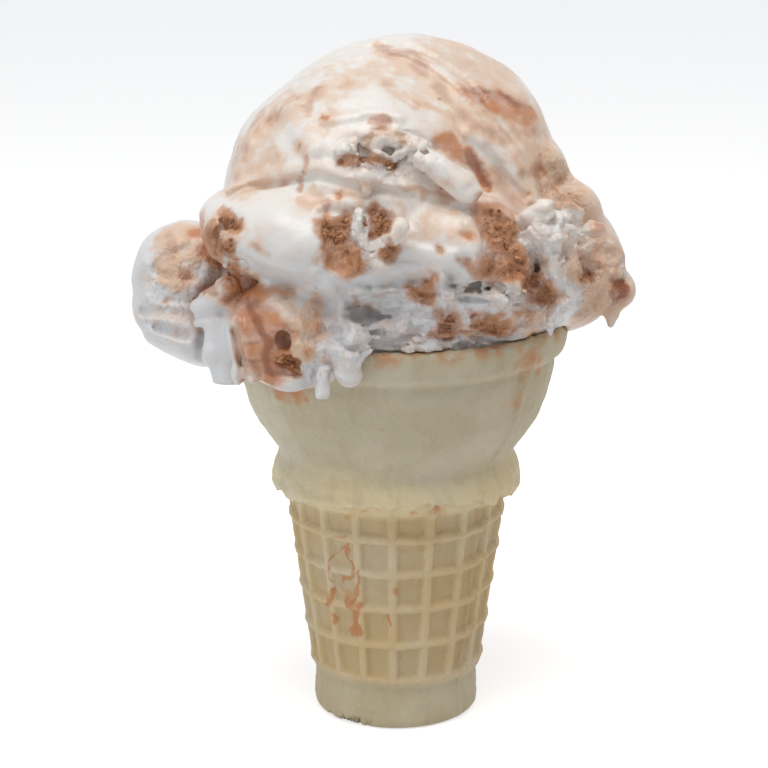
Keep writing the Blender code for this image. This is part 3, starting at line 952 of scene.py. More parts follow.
    def skin(self) -> bpy.types.Mesh:
        """Return the closed surface of the sampled field, in metres."""
        values, corner = self.sample()
        grid = openvdb.FloatGrid(float(values.max()))
        grid.copyFromArray(values)
        grid.transform = openvdb.createLinearTransform(voxelSize=self.voxel)
        points, quads = grid.convertToQuads(isovalue=0.0)
        places = (points + corner) * MM + np.array(self.foot)
        mesh = bpy.data.meshes.new("ice_cream")
        mesh.from_pydata(places.tolist(), [], quads[:, ::-1].tolist())
        mesh.update()
        return mesh

    def tint(self, mesh: bpy.types.Mesh) -> None:
        """Store where the skin is tan, rosy, caramel, crumbly and torn."""
        points = mesh_points(mesh, self.foot)
        wander = np.stack([self.lumps.layered(points + s, 4.5, 3) for s in (9.0, 63.0)], 1)
        place = front_view(points) + 1.3 * wander
        front = in_front(points)
        back = 1.0 - front
        clouds = self.lumps.layered(points + 150.0, 16.0, 3)
        veins = self.lumps.layered(points * np.array([1.0, 1.0, 1.6], np.float32) + 230.0, 11.0, 3)
        clean = np.zeros(len(points), np.float32)
        for stroke in CLEAN_CREAM:
            clean = np.maximum(clean, 1.3 * stroke.cover(front_view(points) + 0.6 * wander))
        masks = {}
        for name, strokes in TINTS.items():
            cover = covered(strokes, place)
            masks[name] = cover * front * (1.0 - np.clip(clean, 0.0, 1.0))
        behind = smooth_step(-0.1, 0.5, clouds)
        masks["tan"] = np.maximum(masks["tan"], 0.75 * back * behind)
        masks["rosy"] = np.maximum(masks["rosy"], back * smooth_step(0.16, 0.02, np.abs(veins)) * 0.7)
        masks["caramel"] = np.maximum(masks["caramel"], back * smooth_step(0.5, 0.8, clouds) * 0.9)
        low_back = back * smooth_step(90.0, 84.0, points[:, 2])
        masks["crumb"] = np.maximum(masks["crumb"], low_back * smooth_step(0.2, 0.5, veins) * 0.9)
        for name, values in masks.items():
            store(mesh, name, np.clip(values, 0.0, 1.4))
        store(mesh, "torn", self.torn(points) * (1.0 - 0.6 * np.clip(clean, 0.0, 1.0)))

    def weigh(self, piece: bpy.types.Object) -> None:
        """Mark how readily each point may be thinned out: torn and front places keep theirs."""
        points = mesh_points(piece.data, self.foot)
        rough = np.maximum(self.torn(points), 0.35 * in_front(points))
        levels = np.round(10.0 * (1.0 - 0.5 * rough)).astype(int)
        group = piece.vertex_groups.new(name="smooth")
        for level in np.unique(levels):
            group.add(np.flatnonzero(levels == level).tolist(), float(level) / 10.0, "REPLACE")

    def build(self) -> bpy.types.Object:
        """Build the ice cream as one piece with its tints stored on its points."""
        piece = new_piece("scoop_of_ice_cream", self.skin())
        triangles = 2 * len(piece.data.polygons)
        if triangles > self.most_triangles:
            self.weigh(piece)
            thin = piece.modifiers.new("thin", "DECIMATE")
            thin.ratio = self.most_triangles / triangles
            thin.vertex_group = "smooth"
            thin.vertex_group_factor = 1.0
            apply_modifiers(piece)
        piece.data.shade_smooth()
        self.tint(piece.data)
        LOG.info("ice cream: %d faces", len(piece.data.polygons))
        return piece


# ------------------------------------------------------------------ crumbs


@dataclass(frozen=True)
class Scatter:
    """Grains that a geometry-node tree strews over the scoop where it is torn.

    Attributes:
        mask: Name of the scoop's stored mask that they follow.
        density: Grains for each square metre where the mask is full.
        smallest: Radius of the smallest grain, in metres.
        largest: Radius of the largest grain.
        threshold: Mask value below which there are none.
        seed: Seed for their places, sizes and turns.
    """

    mask: str
    density: float
    smallest: float
    largest: float
    threshold: float
    seed: int

    def tree(self, material: bpy.types.Material) -> bpy.types.NodeTree:
        """Return the tree: points where the mask allows, a rough grain on each, realized."""
        tree = bpy.data.node_groups.new("strew_grains", "GeometryNodeTree")
        face = tree.interface
        face.new_socket("Geometry", in_out="INPUT", socket_type="NodeSocketGeometry")
        for name in ("Density", "Smallest", "Largest"):
            face.new_socket(name, in_out="INPUT", socket_type="NodeSocketFloat")
        face.new_socket("Seed", in_out="INPUT", socket_type="NodeSocketInt")
        face.new_socket("Geometry", in_out="OUTPUT", socket_type="NodeSocketGeometry")
        graph = Graph(tree)
        given = graph.node("NodeGroupInput").outputs
        mask = graph.node("GeometryNodeInputNamedAttribute", {"Name": self.mask})
        share = graph.ease(mask.outputs["Attribute"], self.threshold, 1.0)
        density = graph.math("MULTIPLY", share, given["Density"])
        points = graph.node(
            "GeometryNodeDistributePointsOnFaces",
            {"Mesh": given["Geometry"], "Density": density, "Seed": given["Seed"]},
        )
        sunk = graph.node(
            "ShaderNodeVectorMath",
            {0: points.outputs["Normal"], "Scale": graph.math("MULTIPLY", given["Smallest"], -1.0)},
            operation="SCALE",
        )
        bedded = graph.node(
            "GeometryNodeSetPosition",
            {"Geometry": points.outputs["Points"], "Offset": sunk.outputs[0]},
        )
        ball = graph.node("GeometryNodeMeshIcoSphere", {"Radius": 1.0, "Subdivisions": 1})
        place = graph.node("GeometryNodeInputPosition").outputs[0]
        rough = graph.node("ShaderNodeTexNoise", {"Vector": place, "Scale": 1.3, "Detail": 1.0})
        centred = graph.node(
            "ShaderNodeVectorMath",
            {0: rough.outputs["Color"], 1: (0.5, 0.5, 0.5)},
            operation="SUBTRACT",
        )
        push = graph.node(
            "ShaderNodeVectorMath", {0: centred.outputs[0], "Scale": 1.9}, operation="SCALE"
        )
        lump = graph.node(
            "GeometryNodeSetPosition", {"Geometry": ball.outputs[0], "Offset": push.outputs[0]}
        )
        size = graph.node(
            "FunctionNodeRandomValue",
            {2: given["Smallest"], 3: given["Largest"], "Seed": given["Seed"]},
        )
        turn = graph.node(
            "FunctionNodeRandomValue",
            {0: (0.0, 0.0, 0.0), 1: (math.tau, math.tau, math.tau), "Seed": given["Seed"]},
            data_type="FLOAT_VECTOR",
        )
        grains = graph.node(
            "GeometryNodeInstanceOnPoints",
            {"Points": bedded.outputs[0], "Instance": lump.outputs[0],
             "Rotation": turn.outputs[0], "Scale": size.outputs[1]},
        )
        real = graph.node("GeometryNodeRealizeInstances", {0: grains.outputs[0]})
        dressed = graph.node(
            "GeometryNodeSetMaterial", {"Geometry": real.outputs[0], "Material": material}
        )
        graph.node("NodeGroupOutput", {0: dressed.outputs[0]})
        return tree

    def build(self, scoop: bpy.types.Object, material: bpy.types.Material) -> bpy.types.Object:
        """Strew the grains over a copy of the scoop's skin and keep only the grains.

        Args:
            scoop: The finished ice cream, with its masks stored.
            material: Finish of the grains.

        Returns:
            One piece that holds every grain.
        """
        piece = new_piece("grains_of_biscuit", scoop.data.copy())
        modifier = piece.modifiers.new("strew", "NODES")
        tree = self.tree(material)
        modifier.node_group = tree
        values = {"Density": self.density, "Smallest": self.smallest,
                  "Largest": self.largest, "Seed": self.seed}
        set_inputs(modifier, values)
        apply_modifiers(piece)
        piece.data.materials.clear()
        piece.data.materials.append(material)
        LOG.info("%s: %d faces", piece.name, len(piece.data.polygons))
        return piece


# ------------------------------------------------------------------ wafer


# Heights on the wafer where a feature fades in or out, as (from, to) in millimetres.
STEM_FOOT = (9.6, 10.2)
STEM_HEAD = (43.4, 42.8)
UNDER_LIP = (42.2, 42.6)
ABOVE_FLOOR = (0.3, 1.6)
CHIPPED_EDGE = (2.6, 0.2)
# How the flanks of a rib and of a ring rise, as (outside, inside) of its edge.
RIB_FLANK = (0.4, -0.3)
RING_FLANK = (0.5, -0.6)
# Only the skin outside this radius is worked on: the rest is the cup's hidden inside.
OUTSIDE_RADIUS = 14.0
# Half the width of the step where the two halves of the mould meet, in radians.
SEAM_HALF_WIDTH = 0.02


@dataclass(frozen=True)
class Spot:
    """Where a point of the wafer is, as sockets of the relief tree.

    Attributes:
        place: Its place from the centre of the foot, in millimetres.
        height: Its height above the foot.
        radius: Its distance from the axis.
        azimuth: Its direction round the axis in radians, 0 at the front.
        wobble: Broad noise about 0.
        fine: Fine noise about 0.
        half: 1 on the half that its mould left lower, 0 on the other half.
    """

    place: bpy.types.NodeSocket
    height: bpy.types.NodeSocket
    radius: bpy.types.NodeSocket
    azimuth: bpy.types.NodeSocket
    wobble: bpy.types.NodeSocket
    fine: bpy.types.NodeSocket
    half: bpy.types.NodeSocket


@dataclass
class WaferCone:
    """The moulded wafer: foot band, ribbed stem, collar, bowl and flared rim.

    Attributes:
        foot: Centre of its foot, in metres.
        rim_radius: Outer radius of the rim, in millimetres.
        rim_height: Height of the rim.
        columns: Faces round the cone; a multiple of the ribs.
        row_step: Height of a row of faces, in millimetres.
    """

    foot: Vector
    rim_radius: float
    rim_height: float
    columns: int = 396
    row_step: float = 0.43
    ribs: int = 18
    rib_phase: float = -2.0
    rib_width: float = 1.6
    panel_depth: float = 0.95
    ring_width: float = 1.6
    ring_heights: tuple[float, ...] = (9.8, 17.5, 24.9, 32.0, 38.9)
    seam_azimuth: float = 50.0
    rim_wall: float = 2.7

    def outline(self) -> list[tuple[float, float]]:
        """Return (radius, height) points from the foot over the rim and down inside."""
        rim, top = self.rim_radius, self.rim_height
        crease = top - 6.2
        outer = [
            (0.0, 0.0), (14.3, 0.0), (15.2, 0.35), (15.65, 1.3), (15.3, 8.4), (15.35, 8.7),
            (16.25, 9.1), (16.6, 12.5), (18.2, 24.0), (20.3, 40.0), (20.6, 42.6),
            (21.2, 43.5), (22.4, 44.4), (23.0, 45.3), (23.35, 46.6), (23.1, 48.4),
            (22.3, 50.2), (21.95, 51.3), (22.2, 52.2), (23.8, 54.5), (25.2, 56.4),
            (26.35, 58.3), (27.2, 60.1), (27.9, 62.0), (28.4, 63.9), (28.9, 65.7),
            (29.3, 67.6), (29.45, crease - 1.2), (29.3, crease - 0.3), (30.3, crease + 0.1),
            (rim - 0.75, crease + 0.9), (rim - 0.3, crease + 2.6), (rim, top - 0.9),
            (rim - 0.35, top - 0.1),
        ]
        wall = self.rim_wall
        inner = [
            (rim - 1.3, top), (rim - wall + 0.4, top - 0.1), (rim - wall, top - 0.8),
            (rim - wall - 1.0, top - 6.0), (rim - wall - 3.0, top - 12.0), (0.0, top - 14.0),
        ]
        return outer + inner

    def rows(self) -> np.ndarray:
        """Return evenly spaced, slightly rounded (radius, height) rows of the outline."""
        corners = np.array(self.outline())
        steps = np.linalg.norm(np.diff(corners, axis=0), axis=1)
        along = np.concatenate([[0.0], np.cumsum(steps)])
        show = along[-1] - 26.0
        places = np.concatenate([
            np.linspace(0.0, 13.5, 5), np.arange(14.0, show, self.row_step),
            np.linspace(show + 1.0, along[-1], 12),
        ])
        rows = np.stack([np.interp(places, along, corners[:, i]) for i in range(2)], 1)
        for _ in range(2):
            middle = 0.25 * rows[:-2] + 0.5 * rows[1:-1] + 0.25 * rows[2:]
            rows[6:-14] = middle[5:-13]
        return rows

    def turned(self) -> bpy.types.Mesh:
        """Return the plain turned cone as a closed mesh, in metres."""
        rows = self.rows()[1:-1]
        angles = np.arange(self.columns) * (math.tau / self.columns)
        across = np.sin(angles)[None] * rows[:, :1]
        deep = -np.cos(angles)[None] * rows[:, :1]
        high = np.repeat(rows[:, 1:], self.columns, axis=1)
        points = np.stack([across, deep, high], -1).reshape(-1, 3)
        last = len(points)
        points = np.concatenate([points, [[0, 0, 0.0], [0, 0, rows[-1, 1] - 1.0]]])
        faces = []
        for row in range(len(rows) - 1):
            start = row * self.columns
            for column in range(self.columns):
                after = (column + 1) % self.columns
                faces.append((start + column, start + after,
                              start + self.columns + after, start + self.columns + column))
        top = (len(rows) - 1) * self.columns
        for column in range(self.columns):
            after = (column + 1) % self.columns
            faces.append((after, column, last))
            faces.append((top + column, top + after, last + 1))
        mesh = bpy.data.meshes.new("wafer")
        mesh.from_pydata((points * MM + np.array(self.foot)).tolist(), [], faces)
        mesh.update()
        return mesh

    def spot(self, graph: Graph) -> Spot:
        """Return where each point is, with the noise that roughens it there."""
        offset = graph.node(
            "ShaderNodeVectorMath",
            {0: graph.node("GeometryNodeInputPosition").outputs[0], 1: tuple(self.foot)},
            operation="SUBTRACT",
        )
        place = graph.node(
            "ShaderNodeVectorMath", {0: offset.outputs[0], "Scale": 1.0 / MM}, operation="SCALE"
        ).outputs[0]
        across, back, height = graph.node("ShaderNodeSeparateXYZ", {0: place}).outputs
        azimuth = graph.math("ARCTAN2", across, graph.times(back, -1.0))
        squares = (graph.math("POWER", side, 2.0) for side in (across, back))
        radius = graph.math("SQRT", graph.plus(*squares))
        wobble = graph.less(graph.noise(place, 0.35, 2.0), 0.5)
        fine = graph.less(graph.noise(place, 1.7, 3.0), 0.5)
        seam = math.radians(self.seam_azimuth)
        other = seam - math.pi
        past = graph.times(
            graph.ease(azimuth, seam - SEAM_HALF_WIDTH, seam + SEAM_HALF_WIDTH),
            graph.math("LESS_THAN", azimuth, math.pi),
        )
        before = graph.ease(azimuth, other + SEAM_HALF_WIDTH, other - SEAM_HALF_WIDTH)
        return Spot(place, height, radius, azimuth, wobble, fine, graph.plus(past, before))

    def panels(self, graph: Graph, given: object, spot: Spot) -> bpy.types.NodeSocket:
        """Return how far the skin sinks between the ribs and rings of the stem.

        Args:
            graph: The relief tree.
            given: The tree's named inputs.
            spot: Where each point is.

        Returns:
            The depth in millimetres, 0 off the stem.
        """
        turns = graph.less(spot.azimuth, given["Rib Phase"])
        turns = graph.times(turns, graph.math("DIVIDE", given["Ribs"], math.tau))
        off = graph.math("ABSOLUTE", graph.less(turns, graph.math("ROUND", turns)))
        gap = graph.times(off, graph.math("DIVIDE", math.tau, given["Ribs"]), spot.radius)
        gap = graph.plus(gap, graph.times(spot.fine, 0.35))
        gap = graph.less(gap, graph.times(given["Rib Width"], 0.5))
        rib = graph.times(graph.ease(gap, *RIB_FLANK), 0.95)
        level = graph.plus(spot.height, graph.times(spot.half, -0.9))
        level = graph.plus(level, graph.times(spot.wobble, 0.9))
        rings: object = 0.0
        for middle in self.ring_heights:
            away = graph.math("ABSOLUTE", graph.less(level, middle))
            away = graph.plus(away, graph.times(spot.fine, 0.3))
            away = graph.less(away, graph.times(given["Ring Width"], 0.5))
            ring = graph.times(graph.ease(away, *RING_FLANK), 1.25)
            rings = graph.math("MAXIMUM", rings, ring)
        stem = graph.times(graph.ease(spot.height, *STEM_FOOT), graph.ease(spot.height, *STEM_HEAD))
        between = graph.less(1.0, graph.math("MAXIMUM", rib, rings))
        return graph.times(stem, between, given["Panel Depth"])

    def lip(self, graph: Graph, spot: Spot) -> bpy.types.NodeSocket:
        """Return how far the collar's ragged lip stands out and the wall below it sinks."""
        ragged = graph.less(graph.noise(spot.place, 0.3, 5.0), 0.5)
        line = graph.plus(44.4, graph.times(ragged, 5.0))
        line = graph.plus(line, graph.times(graph.math("COSINE", spot.azimuth), 1.6))
        over = graph.less(spot.height, line)
        wall = graph.plus(15.1, graph.times(spot.height, 0.127))
        proud = graph.math("MAXIMUM", graph.less(spot.radius, wall), 0.0)
        below = graph.times(graph.ease(spot.height, *UNDER_LIP), graph.ease(over, 0.05, -0.4))
        edge = graph.times(graph.ease(over, -0.25, 0.1), graph.ease(over, 2.4, 0.3))
        return graph.less(graph.times(edge, 0.6), graph.times(below, proud))

    def chips(self, graph: Graph, spot: Spot) -> bpy.types.NodeSocket:
        """Return 1 where the foot's edge is chipped, on its front left, and 0 elsewhere."""
        return graph.times(
            graph.ease(spot.azimuth, -1.05, -0.9),
            graph.ease(spot.azimuth, -0.2, -0.4),
            graph.ease(graph.noise(spot.place, 0.42, 3.0), 0.42, 0.6),
            graph.math("GREATER_THAN", spot.radius, OUTSIDE_RADIUS),
            graph.ease(spot.height, *CHIPPED_EDGE),
        )

    def relief_tree(self, material: bpy.types.Material) -> bpy.types.NodeTree:
        """Return the tree that ribs, rings, roughens and chips the turned cone."""
        tree = bpy.data.node_groups.new("wafer_relief", "GeometryNodeTree")
        face = tree.interface
        face.new_socket("Geometry", in_out="INPUT", socket_type="NodeSocketGeometry")
        for name in ("Ribs", "Rib Phase", "Rib Width", "Panel Depth", "Ring Width"):
            face.new_socket(name, in_out="INPUT", socket_type="NodeSocketFloat")
        face.new_socket("Geometry", in_out="OUTPUT", socket_type="NodeSocketGeometry")
        graph = Graph(tree)
        given = graph.node("NodeGroupInput").outputs
        spot = self.spot(graph)
        panel = self.panels(graph, given, spot)
        seam_gap = graph.math("ABSOLUTE", graph.less(spot.azimuth, math.radians(self.seam_azimuth)))
        seam_ridge = graph.times(graph.ease(seam_gap, 0.03, 0.008), 0.5)
        rim = graph.ease(spot.height, self.rim_height - 2.6, self.rim_height - 0.2)
        rough_rim = graph.times(rim, spot.fine, 1.5)
        skin = graph.plus(graph.times(spot.wobble, 0.55), graph.times(spot.fine, 0.22))

        out = graph.less(graph.plus(self.lip(graph, spot), seam_ridge), panel)
        out = graph.plus(out, graph.times(spot.half, 0.12))
        out = graph.less(out, graph.math("ABSOLUTE", rough_rim))
        out = graph.times(graph.plus(out, skin), graph.ease(spot.height, *ABOVE_FLOOR), MM)
        inside = graph.math("LESS_THAN", spot.radius, OUTSIDE_RADIUS)
        out = graph.times(out, graph.less(1.0, inside))
        normal = graph.node("GeometryNodeInputNormal").outputs[0]
        move = graph.node("ShaderNodeVectorMath", {0: normal, "Scale": out}, operation="SCALE")
        chip = graph.times(self.chips(graph, spot), 1.5 * MM)
        lift = graph.node("ShaderNodeCombineXYZ", {2: chip})
        both = graph.node("ShaderNodeVectorMath", {0: move.outputs[0], 1: lift.outputs[0]})
        moved = graph.node(
            "GeometryNodeSetPosition",
            {"Geometry": given["Geometry"], "Offset": both.outputs[0]},
        )
        # the panels' depth is kept for the material, which paints shade into them with it
        kept = graph.node(
            "GeometryNodeStoreNamedAttribute",
            {"Geometry": moved.outputs[0], "Name": "hollow", "Value": panel},
            data_type="FLOAT",
            domain="POINT",
        )
        real = graph.node("GeometryNodeRealizeInstances", {0: kept.outputs[0]})
        dressed = graph.node(
            "GeometryNodeSetMaterial", {"Geometry": real.outputs[0], "Material": material}
        )
        graph.node("NodeGroupOutput", {0: dressed.outputs[0]})
        return tree

    def build(self, material: bpy.types.Material) -> bpy.types.Object:
        """Build the wafer as one closed piece."""
        piece = new_piece("wafer_cup", self.turned())
        modifier = piece.modifiers.new("relief", "NODES")
        tree = self.relief_tree(material)
        modifier.node_group = tree
        values = {"Ribs": float(self.ribs), "Rib Phase": math.radians(self.rib_phase),
                  "Rib Width": self.rib_width, "Panel Depth": self.panel_depth,
                  "Ring Width": self.ring_width}
        set_inputs(modifier, values)
        apply_modifiers(piece)
        mesh = piece.data
        mesh.shade_smooth()
        points = mesh_points(mesh, self.foot)
        wander = 0.9 * np.stack([LumpNoise(5).layered(points + s, 2.6, 3) for s in (9.0, 63.0)], 1)
        place = front_view(points) + wander
        cover = covered(SYRUP, place)
        store(mesh, "syrup", cover * in_front(points))
        mesh.materials.clear()
        mesh.materials.append(material)
        LOG.info("wafer: %d faces", len(mesh.polygons))
        return piece


# ------------------------------------------------------------------ finishes


@dataclass(frozen=True)
class IceCreamFinish:
    """Wet, soft, slightly see-through ice cream with tan, rosy and caramel swirls, and painted shade low on
    the scoop.
    """

    cream: Colour = linear(240, 235, 229)
    # painted shade: the greyer, cooler cream of the scoop's shaded lower part
    painted_shade_cream: Colour = linear(224, 224, 225)
    tan: Colour = linear(226, 190, 160)
    rosy: Colour = linear(198, 160, 144)
    caramel: Colour = linear(200, 128, 76)
    amber: Colour = linear(150, 84, 44)
    crumb: Colour = linear(192, 138, 98)
    dark: Colour = linear(96, 58, 36)

    def material(self) -> bpy.types.Material:
        """Return the ice cream's material, which reads the masks stored on the mesh."""
        material = bpy.data.materials.new("ice_cream")
        material.use_nodes = True
        graph = Graph(material.node_tree)
        shader = material.node_tree.nodes["Principled BSDF"]
        place = graph.node("ShaderNodeTexCoord").outputs["Object"]
        middle = graph.noise(place, 320.0, 4.0)
        fine = graph.noise(place, 1100.0, 3.0)
        blend = self.swirled(graph, place, middle, fine)
        blend = self.speckled(graph, place, blend)
        links = material.node_tree.links
        links.new(blend, shader.inputs["Base Color"])
        rough = graph.plus(
            0.36,
            graph.times(graph.attribute("torn"), 0.2),
            graph.times(graph.attribute("crumb"), 0.15),
        )
        rough = graph.less(rough, graph.times(graph.attribute("caramel"), 0.12))
        links.new(rough, shader.inputs["Roughness"])
        shader.inputs["Subsurface Weight"].default_value = 0.2
        shader.inputs["Subsurface Radius"].default_value = (1.0, 0.62, 0.42)
        shader.inputs["Subsurface Scale"].default_value = 0.0012
        shader.inputs["Coat Weight"].default_value = 0.08
        shader.inputs["Coat Roughness"].default_value = 0.12
        curdled = graph.plus(
            0.3, graph.times(graph.attribute("torn"), 1.5), graph.attribute("crumb")
        )
        height = graph.plus(graph.times(middle, 0.6), graph.times(fine, 0.4))
        height = graph.times(height, curdled)
        bump = graph.node("ShaderNodeBump", {"Height": height, "Strength": 0.8, "Distance": 0.0012})
        links.new(bump.outputs[0], shader.inputs["Normal"])
        return material

    def swirled(
        self, graph: Graph, place: object, middle: object, fine: object
    ) -> bpy.types.NodeSocket:
        """Return the colour of the cream with its swirls, and with painted shade low on the scoop.

        Args:
            graph: The material's tree.
            place: Where each point is.
            middle: Noise of lumps about 3 mm wide.
            fine: Noise of grains about 1 mm wide.

        Returns:
            The colour.
        """
        # painted shade: the cream turns greyer and cooler lower down the scoop, with a noisy edge
        broad = graph.noise(place, 90.0, 3.0)
        high = graph.node("ShaderNodeSeparateXYZ", {0: place}).outputs[2]
        low = graph.plus(high, graph.times(graph.less(broad, 0.5), 0.03))
        blend = graph.mix(graph.ease(low, 0.104, 0.088), self.cream, self.painted_shade_cream)
        blend = graph.mix(graph.times(graph.ease(middle, 0.5, 0.75), 0.22), blend, self.tan)
        turned = graph.node(
            "ShaderNodeMapping",
            {"Vector": place, "Rotation": (0.3, 0.5, 0.4), "Scale": (1.0, 1.0, 3.2)},
        ).outputs[0]
        smear = graph.noise(turned, 85.0, 6.0)
        blend = graph.mix(graph.times(graph.ease(smear, 0.5, 0.74), 0.38), blend, self.tan)
        for grain, limit, colour in (
            (graph.ease(middle, 0.46, 0.62), 0.35, self.tan),
            (graph.ease(fine, 0.56, 0.68), 0.4, self.caramel),
        ):
            dirty = graph.times(graph.attribute("torn"), grain, limit)
            blend = graph.mix(dirty, blend, colour)
        syrup = graph.mix(graph.ease(smear, 0.4, 0.55), self.rosy, self.caramel)
        streak = graph.ease(graph.noise(turned, 190.0, 5.0), 0.5, 0.7)
        streaked = graph.mix(streak, syrup, self.amber)
        uneven = graph.times(graph.less(middle, 0.5), 1.5)
        for name, halo, colour, limit in (
            ("tan", self.tan, self.tan, 0.75),
            ("rosy", self.tan, self.rosy, 0.8),
            ("caramel", self.tan, streaked, 0.85),
            ("crumb", self.caramel, self.crumb, 0.85),
        ):
            mask = graph.attribute(name)
            mask = graph.plus(mask, graph.times(uneven, graph.ease(mask, 0.0, 0.35)))
            blend = graph.mix(graph.times(graph.ease(mask, 0.02, 0.5), 0.6), blend, halo)
            blend = graph.mix(graph.times(graph.ease(mask, 0.35, 1.0), limit), blend, colour)
        syrupy = graph.times(graph.ease(graph.attribute("caramel"), 0.9, 1.35), 0.9)
        blend = graph.mix(syrupy, blend, self.amber)
        deep = graph.times(
            graph.ease(graph.attribute("crumb"), 0.75, 1.15), graph.ease(middle, 0.46, 0.64), 0.35
        )
        return graph.mix(deep, blend, self.dark)

    def speckled(self, graph: Graph, place: object, blend: object) -> bpy.types.NodeSocket:
        """Return the colour with a few small specks of biscuit in it."""
        dots = graph.node("ShaderNodeTexVoronoi", {"Vector": place, "Scale": 260.0})
        chance = graph.node("ShaderNodeSeparateColor", {0: dots.outputs["Color"]}).outputs[0]
        speck = graph.times(
            graph.ease(dots.outputs["Distance"], 0.16, 0.07),
            graph.math("GREATER_THAN", chance, 0.9),
            0.8,
        )
        return graph.mix(speck, blend, self.crumb)


@dataclass(frozen=True)
class BiscuitFinish:
    """Dry, dark, rough biscuit crumb."""

    light: Colour = linear(204, 150, 108)
    dark: Colour = linear(140, 90, 58)

    def material(self) -> bpy.types.Material:
        """Return the crumbs' material."""
        material = bpy.data.materials.new("biscuit")
        material.use_nodes = True
        graph = Graph(material.node_tree)
        shader = material.node_tree.nodes["Principled BSDF"]
        place = graph.node("ShaderNodeTexCoord").outputs["Object"]
        patch = graph.noise(place, 420.0, 3.0)
        colour = graph.mix(graph.ease(patch, 0.35, 0.65), self.dark, self.light)
        links = material.node_tree.links
        links.new(colour, shader.inputs["Base Color"])
        shader.inputs["Roughness"].default_value = 0.6
        bump = graph.node("ShaderNodeBump", {"Height": graph.noise(place, 2200.0, 2.0),
                                             "Strength": 0.5, "Distance": 0.0004})
        links.new(bump.outputs[0], shader.inputs["Normal"])
        return material


@dataclass(frozen=True)
class WaferFinish:
    """Pale baked wafer, blistered and faintly greenish, with damp syrup stains and painted shade in the
    stem's sunken panels.
    """

    bowl: Colour = linear(197, 187, 158)
    collar: Colour = linear(236, 219, 176)
    stem: Colour = linear(218, 192, 144)
    foot: Colour = linear(204, 189, 154)
    pale: Colour = linear(222, 214, 192)
    brown: Colour = linear(170, 142, 100)
    syrup: Colour = linear(196, 120, 56)

    def material(self) -> bpy.types.Material:
        """Return the wafer's material, which reads the syrup mask stored on the mesh."""
        material = bpy.data.materials.new("wafer")
        material.use_nodes = True
        graph = Graph(material.node_tree)
        shader = material.node_tree.nodes["Principled BSDF"]
        place = graph.node("ShaderNodeTexCoord").outputs["Object"]
        high = graph.node("ShaderNodeSeparateXYZ", {0: place}).outputs[2]
        long = graph.node("ShaderNodeVectorMath", {0: place, 1: (1.0, 1.0, 0.22)}, operation="MULTIPLY")
        broad = graph.noise(place, 60.0, 4.0)
        middle = graph.noise(place, 330.0, 4.0)
        fine = graph.noise(place, 1500.0, 2.0)
        streak = graph.noise(long.outputs[0], 420.0, 4.0)
        height = graph.math("ADD", high, graph.math("MULTIPLY", graph.math("SUBTRACT", broad, 0.5), 0.006))
        colour = graph.mix(graph.ease(height, 0.0085, 0.0105), self.foot, self.stem)
        colour = graph.mix(graph.ease(height, 0.041, 0.0455), colour, self.collar)
        colour = graph.mix(graph.ease(height, 0.0485, 0.0535), colour, self.bowl)
        colour = graph.mix(graph.math("MULTIPLY", graph.ease(broad, 0.4, 0.68), 0.5), colour, self.pale)
        colour = graph.mix(graph.math("MULTIPLY", graph.ease(streak, 0.45, 0.75), 0.18), colour, self.brown)
        colour = graph.mix(graph.math("MULTIPLY", graph.ease(fine, 0.5, 0.8), 0.25), colour, self.pale)
        # painted shade: the sunken panels between the ribs and rings are darkened towards brown by their
        # depth
        hollow = graph.math("MULTIPLY", graph.ease(graph.attribute("hollow"), 0.0, 1.0), 0.28)
        colour = graph.mix(hollow, colour, self.brown)
        wet = graph.math("MULTIPLY", graph.ease(height, 0.0738, 0.0768), graph.ease(middle, 0.4, 0.6))
        colour = graph.mix(graph.math("MULTIPLY", wet, 0.6), colour, self.syrup)
        stain = graph.math("MULTIPLY", graph.ease(
            graph.math("ADD", graph.attribute("syrup"),
                       graph.math("MULTIPLY", graph.math("SUBTRACT", middle, 0.5), 1.6)), 0.2, 0.9), 0.8)
        colour = graph.mix(stain, colour, self.syrup)
        links = material.node_tree.links
        links.new(colour, shader.inputs["Base Color"])
        links.new(graph.math("SUBTRACT", 0.62, graph.math("MULTIPLY", stain, 0.35)),
                  shader.inputs["Roughness"])
        shader.inputs["Subsurface Weight"].default_value = 0.12
        shader.inputs["Subsurface Radius"].default_value = (1.0, 0.7, 0.4)
        shader.inputs["Subsurface Scale"].default_value = 0.001
        height = graph.math("ADD", graph.math("MULTIPLY", middle, 0.7), graph.math("MULTIPLY", fine, 0.35))
        bump = graph.node("ShaderNodeBump", {"Height": height, "Strength": 0.6, "Distance": 0.0008})
        links.new(bump.outputs[0], shader.inputs["Normal"])
        return material


# ------------------------------------------------------------------ stage


